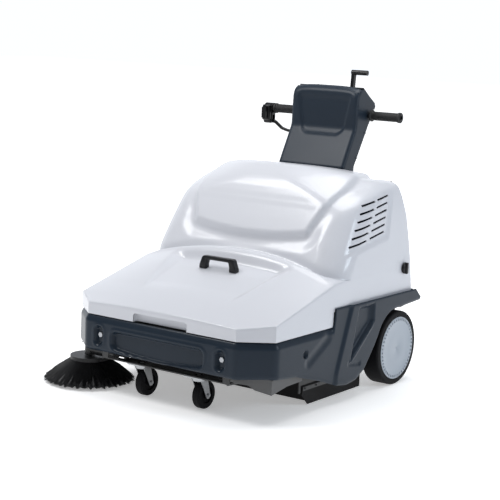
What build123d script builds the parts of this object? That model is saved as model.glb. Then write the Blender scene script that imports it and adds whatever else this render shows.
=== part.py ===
from build123d import *
import os
from math import atan2, cos, degrees, hypot, pi, sin, sqrt

# A walk-behind battery sweeper. Millimetres, +Z up, +X across the machine, and the machine
# drives towards -Y. It is drawn about a datum on the floor in its middle plane, and every piece is
# moved at the end so that the origin is the floor point under the centre of the whole machine.

# ---------------------------------------------------------------- driving dimensions
# Body
body_width = 880.0          # across the dark side skirts
body_length = 1053.0        # from the bumper face to the tip of the skirt's tail
bumper_overhang = 571.0     # bumper face, ahead of the datum
corner_run_x = 107.0        # how far the cut front corner runs across
corner_run_y = 92.0         # and how far it runs back
skirt_wall = 5.0
bumper_low = 155.0
bumper_high = 281.0
skirt_step_high = 351.0     # top of the skirt behind its step
skirt_step_back = 451.0     # the step, behind the bumper face
skirt_lobe_low = 61.0

# Bonnet
bonnet_wall = 4.0
bonnet_gap = 3.0            # between bonnet and skirt
bonnet_tuck = 13.0          # how far the rear side walls reach down behind the skirt
hood_high = 826.0
deck_front_high = 334.0
handle_span = 166.0
handle_high = 42.0
handle_deep = 24.0
hinge_pin_radius = 4.0

# Rear wheels
wheel_radius = 141.5
wheel_width = 73.0
wheel_stand_out = 10.0      # tyre's outer face beyond the skirt
wheel_from_tail = 170.0
arch_gap = 12.0
axle_radius = 12.0
running_clearance = 0.05

# Casters
caster_radius = 50.0
caster_width = 30.0
caster_trail = 30.0
caster_half_track = 128.0
caster_setback = 76.0       # swivel axis behind the bumper face
caster_plate_top = 122.0
kingpin_radius = 7.0

# Brushes
brush_radius = 128.0
brush_length = 640.0
brush_core_radius = 55.0
brush_shaft_radius = 10.0
brush_floor_gap = 2.0
side_brush_radius = 178.0
side_disc_radius = 72.0
side_disc_high = 100.0
side_brush_setback = 115.0  # its axis behind the bumper face
side_brush_inset = 29.0     # its axis inside the skirt's side

# Chassis and what stands on it
plate = 4.0
side_plate_inset = 70.0     # side plate's outer face inside the skirt's side
hopper_depth = 340.0
hopper_low = 165.0
hopper_high = 318.0
hopper_wall = 3.0
battery_size = (172.0, 178.0, 215.0)
deck_plate_top = 300.0

# Console and handlebar
console_width = 304.0
console_wall = 4.0
bar_radius = 11.0
grip_radius = 17.0
grip_length = 139.0
bar_high = 993.0
bar_behind_tail = 38.0      # handlebar axis behind the tail tip

# ---------------------------------------------------------------- places worked out from them
half_width = body_width / 2
y_front = -bumper_overhang
y_tail = body_length - bumper_overhang
y_step = y_front + skirt_step_back
y_wheel = y_tail - wheel_from_tail
y_bar = y_tail + bar_behind_tail
half_front = half_width - corner_run_x - 1.0
x_tyre_out = half_width + wheel_stand_out
x_tyre_in = x_tyre_out - wheel_width
x_plate = half_width - side_plate_inset
x_plate_in = x_plate - plate
half_bonnet = half_width - skirt_wall - bonnet_gap
bonnet_front = y_front + skirt_wall + bonnet_gap
y_brush = y_wheel - 312.0
z_brush = brush_radius + brush_floor_gap
y_caster = y_front + caster_setback
y_console = y_bar - 520.0
y_hinge = y_console + 312.0
z_hinge = 768.0
half_console = console_width / 2
x_side_brush = -(half_width - side_brush_inset)
y_side_brush = y_front + side_brush_setback
x_arm_pivot = x_side_brush + 186.0
z_arm_pivot = 140.0
soft_gap = 0.3
apron_y = y_front + 96
apron_left = caster_half_track + 94
apron_low = 100.0
apron_top = 152.0
flap_clamp_low = 58.0


# ---------------------------------------------------------------- shape helpers
def block(x0, x1, y0, y1, z0, z1):
    """A box between two corners."""
    centre = ((x0 + x1) / 2, (y0 + y1) / 2, (z0 + z1) / 2)
    return Pos(*centre) * Box(abs(x1 - x0), abs(y1 - y0), abs(z1 - z0))


def rod_x(radius, x0, x1, y, z):
    """A round bar along X."""
    return Pos((x0 + x1) / 2, y, z) * Rot(0, 90, 0) * Cylinder(radius, abs(x1 - x0))


def rod_y(radius, y0, y1, x, z):
    """A round bar along Y."""
    return Pos(x, (y0 + y1) / 2, z) * Rot(90, 0, 0) * Cylinder(radius, abs(y1 - y0))


def rod_z(radius, z0, z1, x, y):
    """A round bar along Z."""
    return Pos(x, y, (z0 + z1) / 2) * Cylinder(radius, abs(z1 - z0))


def ring_x(outer, inner, x0, x1, y, z):
    """A tube along X."""
    return rod_x(outer, x0, x1, y, z) - rod_x(inner, x0 - 1, x1 + 1, y, z)


def side_prism(points, x0, x1):
    """A side outline of (y, z) points, carried across from x0 to x1."""
    face = make_face(Polyline(*points, close=True))
    return Pos(x0, 0, 0) * extrude(Plane.YZ * face, amount=x1 - x0)


def plan_prism(points, z0, z1):
    """A plan outline of (x, y) points, carried up from z0 to z1."""
    face = make_face(Polyline(*points, close=True))
    return Pos(0, 0, z0) * extrude(face, amount=z1 - z0)


def mirrored(shape):
    """The same piece on the other side of the machine."""
    return mirror(shape, about=Plane.YZ)


def pair(shape):
    """Two separate solids, one on each side."""
    return group(shape, mirrored(shape))


def group(*shapes):
    """Several separate solids that share a node."""
    solids = []
    for shape in shapes:
        solids.extend(shape.solids())
    return Compound(solids)


parts = {}

# ---------------------------------------------------------------- lower skirt and bumper
def skirt_plan(inset):
    """Plan outline of the body, pulled in by inset: square tail and two cut front corners."""
    w = half_width - inset
    f = half_front - inset * 0.45
    y0 = y_front + inset
    y1 = y_front + corner_run_y + inset * 0.45
    y2 = y_tail + 20
    return [(-f, y0), (f, y0), (w, y1), (w, y2), (-w, y2), (-w, y1)]


def arch_point(angle, radius):
    """A point on the wheel arch, at an angle in degrees from straight back."""
    a = angle * pi / 180
    return (y_wheel + radius * cos(a), wheel_radius + radius * sin(a))


def skirt_side_outline():
    """Side outline of the skirt: bumper, step, tail, wheel arch and the lobe ahead of the wheel."""
    arch = [arch_point(a, wheel_radius + arch_gap) for a in range(90, 166, 15)]
    tail = [
        (y_front - 1, bumper_low), (y_front - 1, bumper_high), (y_step, bumper_high),
        (y_step, skirt_step_high), (y_tail - 37, skirt_step_high), (y_tail, skirt_step_high - 41),
        (y_tail - 12, skirt_step_high - 51), (y_wheel + 60, wheel_radius + wheel_radius + arch_gap + 2),
    ]
    lobe_end = y_wheel - wheel_radius - arch_gap - 76
    lobe = [
        (lobe_end, skirt_lobe_low + 33), (lobe_end - 60, skirt_lobe_low + 6), (lobe_end - 117, skirt_lobe_low),
        (lobe_end - 185, skirt_lobe_low + 6), (lobe_end - 380, bumper_low - 6), (lobe_end - 420, bumper_low),
    ]
    return tail + arch + lobe


bolt_x = half_front - 62
bolt_z = bumper_low + 58
recess_half = 203.0
recess_low = bumper_low + 6
recess_high = bumper_low + 81
pocket_deep = 16.0
pocket_wall = 3.0


def pocket(x0, x1, z0, z1, deep):
    """A dish set back into the bumper: its walls and its floor, and the hole it needs."""
    w = pocket_wall
    dish = block(x0 - w, x1 + w, y_front + 0.5, y_front + deep + w, z0 - w, z1 + w)
    hole = block(x0, x1, y_front - 5, y_front + deep, z0, z1)
    return dish, hole


def make_lower_skirt():
    """One moulding: bumper across the front, sides, arches over the rear wheels, and the tail."""
    ring = plan_prism(skirt_plan(0), 0, 400) - plan_prism(skirt_plan(skirt_wall), -1, 401)
    shell = ring & side_prism(skirt_side_outline(), -half_width - 1, half_width + 1)
    shell = shell - block(-half_width - 5, half_width + 5, y_tail - 0.5, y_tail + 60, 0, 500)
    for x0, x1, z0, z1 in (
        (-recess_half, recess_half, recess_low + 4, recess_high),
        (bolt_x - 17, bolt_x + 17, bolt_z - 34, bolt_z + 34),
        (-bolt_x - 17, -bolt_x + 17, bolt_z - 34, bolt_z + 34),
    ):
        dish, hole = pocket(x0, x1, z0, z1, pocket_deep)
        shell = shell + dish - hole
    for side in (-1, 1):
        shell = shell - rod_y(5.5, y_front - 2, y_front + 40, side * bolt_x, bolt_z)
    return shell + block(-half_width + 1, half_width - 1, y_tail - 45, y_tail - 40, 304, skirt_step_high)


# ---------------------------------------------------------------- bonnet
def hood_sections():
    """Level outlines of the hood: height, half width, front edge and corner radius."""
    return [
        (skirt_step_high - bonnet_tuck, half_bonnet, y_step + 6, 45.0),
        (470.0, half_bonnet - 2, y_step + 9, 70.0),
        (560.0, half_bonnet - 8, y_console - 62, 90.0),
        (660.0, half_bonnet - 19, y_console - 8, 105.0),
        (740.0, half_bonnet - 34, y_console + 32, 115.0),
        (785.0, half_bonnet - 60, y_console + 66, 120.0),
        (hood_high - 14, half_bonnet - 112, y_console + 100, 110.0),
        (hood_high, half_bonnet - 200, y_console + 150, 80.0),
    ]


def make_hood(inset):
    """The raised hood as a stack of rounded outlines, open behind."""
    faces = []
    y_back = y_tail + 30
    for z, half, y0, radius in hood_sections():
        y0 = y0 + inset
        half = half - inset
        level = z - (inset if z > 600 else 0) - (40 if z < 400 and inset else 0)
        outline = RectangleRounded(2 * half, y_back - y0, radius)
        faces.append(Pos(0, (y_back + y0) / 2, level) * outline)
    return loft(faces, ruled=True)


def deck_sections():
    """Cross sections of the sloping front: place along Y, half width, edge height, middle height."""
    rise = deck_front_high
    return [
        (bonnet_front, half_front - 5, rise - 8, rise),
        (y_front + corner_run_y, half_bonnet, rise + 6, rise + 29),
        (y_step - 110, half_bonnet, rise + 71, rise + 115),
        (y_step + 4, half_bonnet, rise + 103, rise + 171),
        (y_step + 60, half_bonnet, rise + 106, rise + 186),
    ]


def make_deck(inset):
    """The sloping front of the bonnet, crowned across."""
    faces = []
    low = bumper_high + bonnet_gap - (20 if inset else 0)
    for i, (y, half, edge, middle) in enumerate(deck_sections()):
        y = y + (inset if i == 0 else 0) + (30 if i == 4 and inset else 0)
        half = half - inset
        edge = edge - inset
        middle = middle - inset
        crown = ThreePointArc((half, edge), (0, middle), (-half, edge))
        base = Polyline((-half, edge), (-half, low), (half, low), (half, edge))
        face = make_face([crown, base])
        faces.append(Pos(0, y, 0) * Rot(90, 0, 0) * face)
    return loft(faces, ruled=True)


hood_fall = 0.15            # how fast the hood's top falls towards the back


def hood_top(y):
    """Height of the hood's top in the middle, towards the back."""
    return hood_high - 1 - hood_fall * (y - y_console - 130)


def hood_back_outline():
    """Side outline that keeps the hood's top slope and cuts it off behind."""
    c = y_console
    return [
        (y_front - 5, 0), (y_front - 5, 900), (c + 85, 900), (c + 130, hood_top(c + 130)),
        (c + 322, hood_top(c + 322)), (c + 338, hood_high - 62), (c + 362, 700), (c + 385, 640),
        (c + 405, 500), (c + 430, skirt_step_high), (c + 430, 0),
    ]


def hood_inside_outline():
    """The same slope one wall lower, and open behind."""
    c = y_console
    low = bonnet_wall
    return [
        (y_front - 5, 0), (y_front - 5, 900), (c + 85, 900), (c + 130, hood_top(c + 130) - low),
        (y_tail + 40, hood_top(y_tail + 40) - low), (y_tail + 40, 0),
    ]


vent_corners = ((-5.0, 552.0), (224.0, 591.0), (99.0, 692.0), (265.0, 722.0))
vent_rows = 6
slot_high = 6.0


def vent_slots():
    """Slot cutters for one side: two leaning slots in each row."""
    (y0, z0), (y1, z1), (y2, z2), (y3, z3) = vent_corners
    cutters = []
    for row in range(vent_rows):
        t = row / (vent_rows - 1)
        ya, za = y0 + (y2 - y0) * t, z0 + (z2 - z0) * t
        yb, zb = y1 + (y3 - y1) * t, z1 + (z3 - z1) * t
        run = hypot(yb - ya, zb - za)
        lean = degrees(atan2(zb - za, yb - ya))
        for start, end in ((0.0, 0.46), (0.54, 1.0)):
            mid = (start + end) / 2
            place = Pos(half_bonnet - 20, y_console + ya + (yb - ya) * mid, za + (zb - za) * mid)
            cutters.append(place * Rot(lean, 0, 0) * Box(90, run * (end - start), slot_high))
    return cutters


lock_y = y_console + 366
lock_z = 436.0
lock_shank = 8.0
handle_y = y_step - 109
handle_z = deck_front_high + 116
grip_half = 110.0


def make_bonnet():
    """The one-piece bonnet: sloping front and hood, thin-walled, open below and behind."""
    back = side_prism(hood_back_outline(), -half_width, half_width)
    outer = (make_deck(0) + make_hood(0)) & back
    under = side_prism(hood_inside_outline(), -half_width, half_width)
    inner = (make_deck(bonnet_wall) + make_hood(bonnet_wall)) & under
    shell = outer - inner
    shell = shell - block(-half_width, half_width, y_step - bonnet_gap, y_tail + 50, 0,
                          skirt_step_high - bonnet_tuck)
    shell = shell - block(-half_console - 22, half_console + 22, y_console + 326, y_tail, 600, 900)
    low = bumper_high + bonnet_gap
    cup = block(-grip_half - 3, grip_half + 3, bonnet_front + 1, bonnet_front + 25, low, low + 36)
    shell = shell + cup - block(-grip_half, grip_half, bonnet_front - 5, bonnet_front + 22, low - 5, low + 33)
    for cutter in vent_slots():
        shell = shell - cutter - mirrored(cutter)
    shell = shell - rod_x(lock_shank + running_clearance, -half_width, half_width, lock_y, lock_z)
    for side in (-1, 1):
        shell = shell - rod_z(3.2, handle_z - 30, handle_z + 30, side * (handle_span / 2 - 14), handle_y)
    return shell


def make_bonnet_handle():
    """Bridge handle: two feet and a bar, standing on the sloping front."""
    half = handle_span / 2
    slope = 0.38
    deep = handle_deep / 2
    foot = side_prism(
        [(handle_y - deep, handle_z - deep * slope + 1), (handle_y + deep, handle_z + deep * slope + 1),
         (handle_y + deep - 3, handle_z + handle_high), (handle_y - deep + 3, handle_z + handle_high)],
        half - 27, half)
    top = handle_z + handle_high
    bar = block(-half + 6, half - 6, handle_y - deep + 3, handle_y + deep - 3, top - 14, top)
    shape = bar + foot + mirrored(foot)
    for side in (-1, 1):
        shape = shape - rod_z(3.2, 0, handle_z + 18, side * (half - 14), handle_y)
    return shape


def hinge_x():
    """Places of the two bonnet hinges, each side of the neck."""
    return (-(half_console + 70), half_console + 70)


def make_hinge_brackets():
    """Chassis halves of the hinges: two ears each, with a bore for the pin, on the neck's wings."""
    ears = []
    for x in hinge_x():
        side = 1 if x > 0 else -1
        wing = block(side * 126, x + side * 34, y_hinge + 8, y_hinge + 12, z_hinge - 28, z_hinge + 4)
        ear = block(x - 34, x - 24, y_hinge - 10, y_hinge + 9, z_hinge - 12, z_hinge + 9)
        bracket = wing + ear + Pos(58, 0, 0) * ear
        ears.append(bracket - rod_x(hinge_pin_radius + running_clearance, x - 60, x + 60, y_hinge, z_hinge))
    return group(*ears)


def make_hinge_leaves():
    """Bonnet halves of the hinges: a barrel on its pin, and a leaf that rises to the hood."""
    leaves = []
    for x in hinge_x():
        leaf = block(x - 20, x + 20, y_hinge - 44, y_hinge - 2, z_hinge - 3, z_hinge + 3)
        y0, y1 = y_hinge - 50, y_hinge - 38
        riser = side_prism([(y0, z_hinge - 3), (y1, z_hinge - 3), (y1, hood_top(y1) - bonnet_wall),
                            (y0, hood_top(y0) - bonnet_wall)], x - 20, x + 20)
        pin = rod_x(hinge_pin_radius, x - 36, x + 36, y_hinge, z_hinge)
        leaves.append(leaf + riser + rod_x(8, x - 20, x + 20, y_hinge, z_hinge) + pin)
    return group(*leaves)


def make_lock():
    """Quarter-turn lock on the right side: knob, shank through the bonnet's wall and a cam inside."""
    x = half_bonnet
    knob = rod_x(22, x + 1, x + 14, lock_y, lock_z)
    flutes = [
        rod_x(3.2, x + 5, x + 20, lock_y + 23.5 * cos(i * pi / 6), lock_z + 23.5 * sin(i * pi / 6))
        for i in range(12)
    ]
    for flute in flutes:
        knob = knob - flute
    bar = block(x + 13, x + 18, lock_y - 5, lock_y + 5, lock_z - 17, lock_z + 17)
    shank = rod_x(lock_shank, x - 22, x + 2, lock_y, lock_z)
    cam = block(x - 22, x - 16, lock_y - 7, lock_y + 7, lock_z - 7, lock_z + 30)
    return knob + bar + shank + cam


# ---------------------------------------------------------------- chassis
def make_chassis_frame():
    """Welded steel frame: side plates, brush chamber, decks, caster plate, brackets."""
    rear = y_tail - 57
    chamber_back = y_brush + brush_radius + 22
    chamber_front = y_brush - brush_radius - 32
    front = y_front + 50
    top = z_brush + brush_radius + 14
    outline = [
        (front, apron_top + 5), (apron_y + plate, apron_top + 5), (apron_y + plate, caster_plate_top),
        (chamber_front - 70, caster_plate_top), (chamber_front - 70, flap_clamp_low - 8),
        (chamber_back + 22, flap_clamp_low - 8), (chamber_back + 60, 100), (rear, 100), (rear, deck_plate_top),
        (chamber_back - 40, deck_plate_top), (chamber_back - 40, top), (chamber_front, top), (front, 240),
    ]
    right = side_prism(outline, x_plate_in, x_plate)
    right = right - rod_x(brush_shaft_radius + 3, 0, half_width, y_brush, z_brush)
    right = right - rod_x(axle_radius + 3, 0, half_width, y_wheel, wheel_radius)
    left = mirrored(right)
    left = left - block(-x_plate - 1, -x_plate_in + 1, front - 5, y_side_brush + 80, 0, 185)
    right = right - rod_x(16, 0, half_width, motor_y, motor_z)
    frame = right + left
    x = x_plate_in + 0.5
    frame += block(-x, x, chamber_front, chamber_back, top - plate, top)
    frame += block(-x, x, chamber_back, chamber_back + plate, 80, top)
    frame += block(-x, x, chamber_front - plate, chamber_front, 70, 112)
    frame += block(-x, x, chamber_back - 44, rear, deck_plate_top - plate, deck_plate_top)
    frame += block(-x, x, rear - plate, rear, 200, deck_plate_top)
    frame = frame - block(-200, 200, y_brush - 50, y_brush + 90, top - plate - 1, top + 1)
    frame = frame - block(-60, 60, y_wheel - 60, y_wheel + 60, deck_plate_top - plate - 1, deck_plate_top + 1)
    low = caster_plate_top
    strip_back = y_caster - 7
    frame += block(-bolt_x - 14, bolt_x + 14, front - 10, strip_back, low, low + plate)
    frame += block(x_arm_pivot + 24, apron_left, front - 10, y_caster + 90, low, low + plate)
    frame += block(apron_left - 1, x, apron_y + plate, y_caster + 90, low, low + plate)
    frame += block(-42, 42, apron_y, apron_y + plate, low - 18, low + 1)
    for side in (-1, 1):
        reach = side * (half_width - skirt_wall)
        frame += block(side * (x_plate - 1), reach, y_step - 65, y_step - 35, 180, 184)
        frame += block(side * (x_plate_in + 1), side * (hopper_half - 10), y_side_brush + 90,
                       hopper_front + hopper_depth - 4, hopper_low - plate, hopper_low)
        stand_x = side * bolt_x
        frame += block(stand_x - 14, stand_x + 14, front - 10, front - 6, low + 1, bolt_z + 22)
        frame += block(stand_x - 14, stand_x + 14, y_front + pocket_deep + pocket_wall, front - 6,
                       bolt_z - 12, bolt_z + 12)
        frame = frame - rod_y(5.5, y_front, front + 30, stand_x, bolt_z)
        frame += block(side * (x_plate - 1), reach, rear - 34, rear - 4, 300, 304)
        frame += block(side * 118, side * 130, y_console + 330, y_console + 372, deck_plate_top - 1, 312)
    hanger = block(x_arm_pivot + 13, x_arm_pivot + 29, y_side_brush - 40, y_side_brush - 28, low - 4, 154)
    hanger += block(x_arm_pivot - 12, x_arm_pivot + 14, y_side_brush - 40, y_side_brush - 28, 128, 154)
    frame += hanger + Pos(0, 68, 0) * hanger
    frame = frame - rod_y(5 + running_clearance, y_side_brush - 60, y_side_brush + 60, x_arm_pivot, z_arm_pivot)
    for side in (-1, 1):
        frame = frame - rod_z(kingpin_radius + 6, 100, 140, side * caster_half_track, y_caster)
    return frame


def make_front_crossmember():
    """Grey folded steel apron under the bumper, with its right-hand return and its cut-out."""
    right = half_width - 20
    mid = (apron_left + right) / 2
    low = apron_low
    outline = [(apron_left, low + 8), (apron_left + 14, low), (mid - 40, low + 16), (mid, low + 18),
               (mid + 30, low + 6), (right, low), (right, apron_top), (apron_left, apron_top)]
    face = make_face(Polyline(*outline, close=True))
    front = Pos(0, apron_y, 0) * extrude(Plane.XZ * face, amount=-plate)
    side = side_prism([(apron_y, low), (apron_y + 90, low + 15), (apron_y + 185, low + 18),
                       (apron_y + 185, apron_top), (apron_y, apron_top)], right - plate, right)
    tie = block(x_plate, right, apron_y + 100, apron_y + 130, apron_top - plate, apron_top)
    return front + side + tie


def make_skirt_bolts():
    """Hexagon bolts in the two oval recesses of the bumper."""
    bolts = []
    for side in (-1, 1):
        face = y_front + pocket_deep
        head = Pos(side * bolt_x, face - 6, bolt_z) * Rot(-90, 0, 0) * extrude(RegularPolygon(9.5, 6), amount=6)
        bolts.append(head + rod_y(5.4, face - 1, y_front + 50, side * bolt_x, bolt_z))
    return group(*bolts)


# ---------------------------------------------------------------- wheels
def make_tyre():
    """Solid rubber tyre of the right rear wheel, with a rounded tread."""
    tyre = ring_x(wheel_radius, wheel_radius - 24, x_tyre_in, x_tyre_out, y_wheel, wheel_radius)
    rims = [e for e in tyre.edges() if e.geom_type == GeomType.CIRCLE and e.radius > wheel_radius - 1]
    return fillet(rims, 7)


def make_rim():
    """Moulded rim with its boss and its shaft."""
    r = wheel_radius - 24
    rim = ring_x(r, r - 8, x_tyre_in + 6, x_tyre_out - 3, y_wheel, wheel_radius)
    rim += rod_x(r - 4, x_tyre_in + 30, x_tyre_in + 40, y_wheel, wheel_radius)
    rim += rod_x(30, x_tyre_in + 2, x_tyre_out - 14, y_wheel, wheel_radius)
    return rim + rod_x(axle_radius, 130, x_tyre_in + 20, y_wheel, wheel_radius)


def make_hubcap():
    """Pale disc over the wheel, with a ring of notches near its edge."""
    r = wheel_radius - 22.5
    cap = rod_x(r, x_tyre_out, x_tyre_out + 2.5, y_wheel, wheel_radius)
    cap += rod_x(20, x_tyre_out - 14, x_tyre_out + 1, y_wheel, wheel_radius)
    count = 48
    for i in range(count):
        a = 2 * pi * i / count
        y = y_wheel + (r - 7) * cos(a)
        z = wheel_radius + (r - 7) * sin(a)
        cap = cap - rod_x(2, x_tyre_out + 1, x_tyre_out + 3, y, z)
    return cap


def make_drive_unit():
    """Transaxle: a tube that carries both wheel shafts, a gear case and its motor."""
    bore = axle_radius + running_clearance
    tube = ring_x(27, bore, -x_plate_in + 22, x_plate_in - 22, y_wheel, wheel_radius)
    case = block(-55, 55, y_wheel - 50, y_wheel + 50, wheel_radius - 62, wheel_radius + 70)
    motor = rod_z(46, wheel_radius + 69, deck_plate_top - 12, 0, y_wheel)
    stays = block(-230, -200, y_wheel - 20, y_wheel + 20, wheel_radius + 20, deck_plate_top - plate)
    unit = tube + case + motor + stays + mirrored(stays)
    return unit - rod_x(bore, -x_plate, x_plate, y_wheel, wheel_radius)


def make_bearings():
    """Four flanged bearings: two on the wheel shafts and two on the main brush shaft."""
    rings = []
    for y, z, bore in ((y_wheel, wheel_radius, axle_radius), (y_brush, z_brush, brush_shaft_radius)):
        ring = ring_x(26, bore + running_clearance, x_plate_in - 12, x_plate_in, y, z)
        rings += [ring, mirrored(ring)]
    return group(*rings)


# ---------------------------------------------------------------- casters
def make_caster_plates():
    """Top plates of the casters with their bearing races."""
    low = caster_plate_top - 5
    top_plate = block(caster_half_track - 40, caster_half_track + 40, y_caster - 34, y_caster + 48,
                      low, caster_plate_top)
    race = rod_z(26, low - 7, low + 1, caster_half_track, y_caster)
    bore = rod_z(kingpin_radius + running_clearance, low - 20, caster_plate_top + 10, caster_half_track, y_caster)
    return pair(top_plate + race - bore)


def make_caster_fork(side):
    """Bent steel fork with its kingpin and the wheel's axle pin."""
    x = side * caster_half_track
    crown_top = caster_plate_top - 12 - soft_gap
    half = caster_width / 2 + 3
    y_axle = y_caster + caster_trail
    crown = rod_z(24, crown_top - 4, crown_top, x, y_caster)
    crown += block(x - half - 3, x + half + 3, y_caster - 14, y_caster + 24, crown_top - 4, crown_top)
    leg = side_prism(
        [(y_caster - 14, crown_top), (y_caster + 24, crown_top), (y_axle + 12, caster_radius - 4),
         (y_axle + 4, caster_radius - 12), (y_axle - 6, caster_radius - 12), (y_axle - 14, caster_radius)],
        x + half, x + half + 3)
    fork = crown + leg + Pos(-2 * half - 3, 0, 0) * leg
    pin = rod_x(6, x - half - 8, x + half + 8, y_axle, caster_radius)
    kingpin = rod_z(kingpin_radius, crown_top - 4, caster_plate_top + 3, x, y_caster)
    return fork + pin + kingpin


def make_caster_wheel(side):
    """Rubber wheel of a caster, bored for its pin."""
    x = side * caster_half_track
    y_axle = y_caster + caster_trail
    half = caster_width / 2
    wheel = rod_x(caster_radius, x - half, x + half, y_axle, caster_radius)
    rims = [e for e in wheel.edges() if e.geom_type == GeomType.CIRCLE]
    wheel = fillet(rims, 6)
    dish = rod_x(30, x + half - 5, x + half + 1, y_axle, caster_radius)
    wheel = wheel - dish - Pos(-2 * half + 4, 0, 0) * dish
    wheel += rod_x(14, x - half - 1, x + half + 1, y_axle, caster_radius)
    return wheel - rod_x(6 + running_clearance, x - 40, x + 40, y_axle, caster_radius)


# ---------------------------------------------------------------- brushes and their drive
motor_y = y_brush - 115
motor_z = z_brush + 194
pulley_x = x_plate + 5
pulley_wide = 15.0
brush_pulley_radius = 45.0
motor_pulley_radius = 25.0
belt_thick = 4.0


def make_main_brush_core():
    """Core tube and shaft of the main brush."""
    half = brush_length / 2
    core = rod_x(brush_core_radius, -half, half, y_brush, z_brush)
    shaft = rod_x(brush_shaft_radius, -x_plate_in + 4, pulley_x + pulley_wide, y_brush, z_brush)
    return core + shaft


def make_main_brush_bristles():
    """Bristle rows of the main brush: eight straight rows set in the core."""
    rows = []
    half = brush_length / 2 - 4
    for i in range(8):
        row = block(-half, half, y_brush - 9, y_brush + 9, z_brush + brush_core_radius - 2,
                    z_brush + brush_radius - 0.4)
        turn = Pos(0, y_brush, z_brush) * Rot(22.5 + 45 * i, 0, 0) * Pos(0, -y_brush, -z_brush)
        rows.append(turn * row)
    core = rod_x(brush_core_radius, -half - 9, half + 9, y_brush, z_brush)
    return group(*[row - core for row in rows])


def make_pulley(radius, y, z, bore):
    """A flanged belt pulley on the right-hand side."""
    body = rod_x(radius, pulley_x, pulley_x + pulley_wide, y, z)
    body += rod_x(radius + 6, pulley_x, pulley_x + 1.5, y, z)
    body += rod_x(radius + 6, pulley_x + pulley_wide - 1.5, pulley_x + pulley_wide, y, z)
    if bore:
        body = body - rod_x(bore, pulley_x - 1, pulley_x + pulley_wide + 1, y, z)
    return body


def make_motor_pulley():
    """Small pulley and the motor shaft it is fixed to."""
    pulley = make_pulley(motor_pulley_radius, motor_y, motor_z, 0)
    return pulley + rod_x(8, x_plate_in - 30, pulley_x + 1, motor_y, motor_z)


def make_drive_belt():
    """Flat belt round both pulleys, just clear of them."""
    dy = motor_y - y_brush
    dz = motor_z - z_brush
    reach = hypot(dy, dz)
    lean = degrees(atan2(dz, dy))
    belts = []
    for extra in (soft_gap + belt_thick, soft_gap):
        big = brush_pulley_radius + extra
        small = motor_pulley_radius + extra
        rise = (big - small) / reach
        run = sqrt(1 - rise * rise)
        web = make_face(Polyline(
            (big * rise, big * run), (reach + small * rise, small * run),
            (reach + small * rise, -small * run), (big * rise, -big * run), close=True))
        outline = web + Circle(big) + Pos(reach, 0) * Circle(small)
        belts.append(extrude(outline, amount=pulley_wide - 5))
    loop = belts[0] - belts[1]
    place = Plane(origin=(pulley_x + 2.5, y_brush, z_brush), x_dir=(0, 1, 0), z_dir=(1, 0, 0))
    return place.location * Rot(0, 0, lean) * loop


def make_brush_motor():
    """Motor of the main brush, on a saddle over the brush chamber."""
    x0 = x_plate_in - 150
    top = z_brush + brush_radius + 14
    body = rod_x(44, x0, x_plate_in - 12, motor_y, motor_z)
    saddle = block(x0 + 20, x_plate_in - 30, motor_y - 26, motor_y + 26, top, motor_z - 20)
    bore = rod_x(8 + running_clearance, x_plate_in - 32, x_plate, motor_y, motor_z)
    return body + saddle - bore


gear_motor_top = 146.0


def side_brush_place(shape):
    """Moves a shape drawn about the side brush's own axis to its place."""
    return Pos(x_side_brush, y_side_brush, 0) * shape


def make_side_brush_disc():
    """Disc of the side brush with its drive shaft."""
    disc = Pos(0, 0, side_disc_high - 8) * Cylinder(side_disc_radius, 14)
    shaft = Pos(0, 0, side_disc_high + 4) * Cylinder(7, 30)
    return side_brush_place(disc + shaft)


def make_side_brush_bristles():
    """Flared skirt of bristles, hollow below the disc."""
    low = 1.0
    high = side_disc_high - 15
    outer = Pos(0, 0, (low + high) / 2) * Cone(side_brush_radius, side_disc_radius - 2, high - low)
    inner = Pos(0, 0, low + (high - low) / 2 - 14) * Cone(side_brush_radius - 22, side_disc_radius - 32, high - low)
    return side_brush_place(outer - inner)


def make_side_brush_arm():
    """Arm that carries the side brush, with the pivot barrel it swings on."""
    barrel = rod_y(11, y_side_brush - 27, y_side_brush + 27, x_arm_pivot, z_arm_pivot)
    barrel += rod_y(5, y_side_brush - 42, y_side_brush + 42, x_arm_pivot, z_arm_pivot)
    low = gear_motor_top
    web = block(x_side_brush - 21, x_arm_pivot, y_side_brush - 20, y_side_brush + 20, low, low + plate)
    drop = block(x_arm_pivot - 24, x_arm_pivot - 4, y_side_brush - 20, y_side_brush + 20, low - 16, low + plate)
    arm = barrel + web + drop
    return arm - rod_z(14, low - 10, low + 10, x_side_brush, y_side_brush)


def make_side_brush_motor():
    """Right-angle gear motor of the side brush, hung under the arm."""
    head = Pos(0, 0, gear_motor_top - 22) * Cylinder(19, 44)
    body = rod_x(19, 15, 130, 0, gear_motor_top - 24)
    bore = Pos(0, 0, gear_motor_top - 38) * Cylinder(7 + running_clearance, 36)
    return side_brush_place(head + body - bore)


# ---------------------------------------------------------------- flaps
flap_x = x_plate
flap_thick = 4.0
flap_low = 4.0


def make_side_flaps():
    """Rubber flaps beside the brush chamber."""
    y0 = y_brush - 175
    y1 = y_brush + 178
    high = flap_clamp_low + 18
    flap = side_prism([(y0, flap_low), (y1, flap_low), (y1, high), (y0 - 40, high), (y0 - 40, 45)],
                      flap_x, flap_x + flap_thick)
    return pair(flap)


def make_end_flaps():
    """Rubber flaps behind and ahead of the main brush."""
    back = y_brush + brush_radius + 22 + plate
    front = y_brush - brush_radius - 32 - plate
    x = x_plate_in - 6
    rear_flap = block(-x, x, back, back + flap_thick, flap_low, 110)
    front_flap = block(-x, x, front - flap_thick, front, flap_low + 8, 104)
    return group(rear_flap, front_flap)


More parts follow.
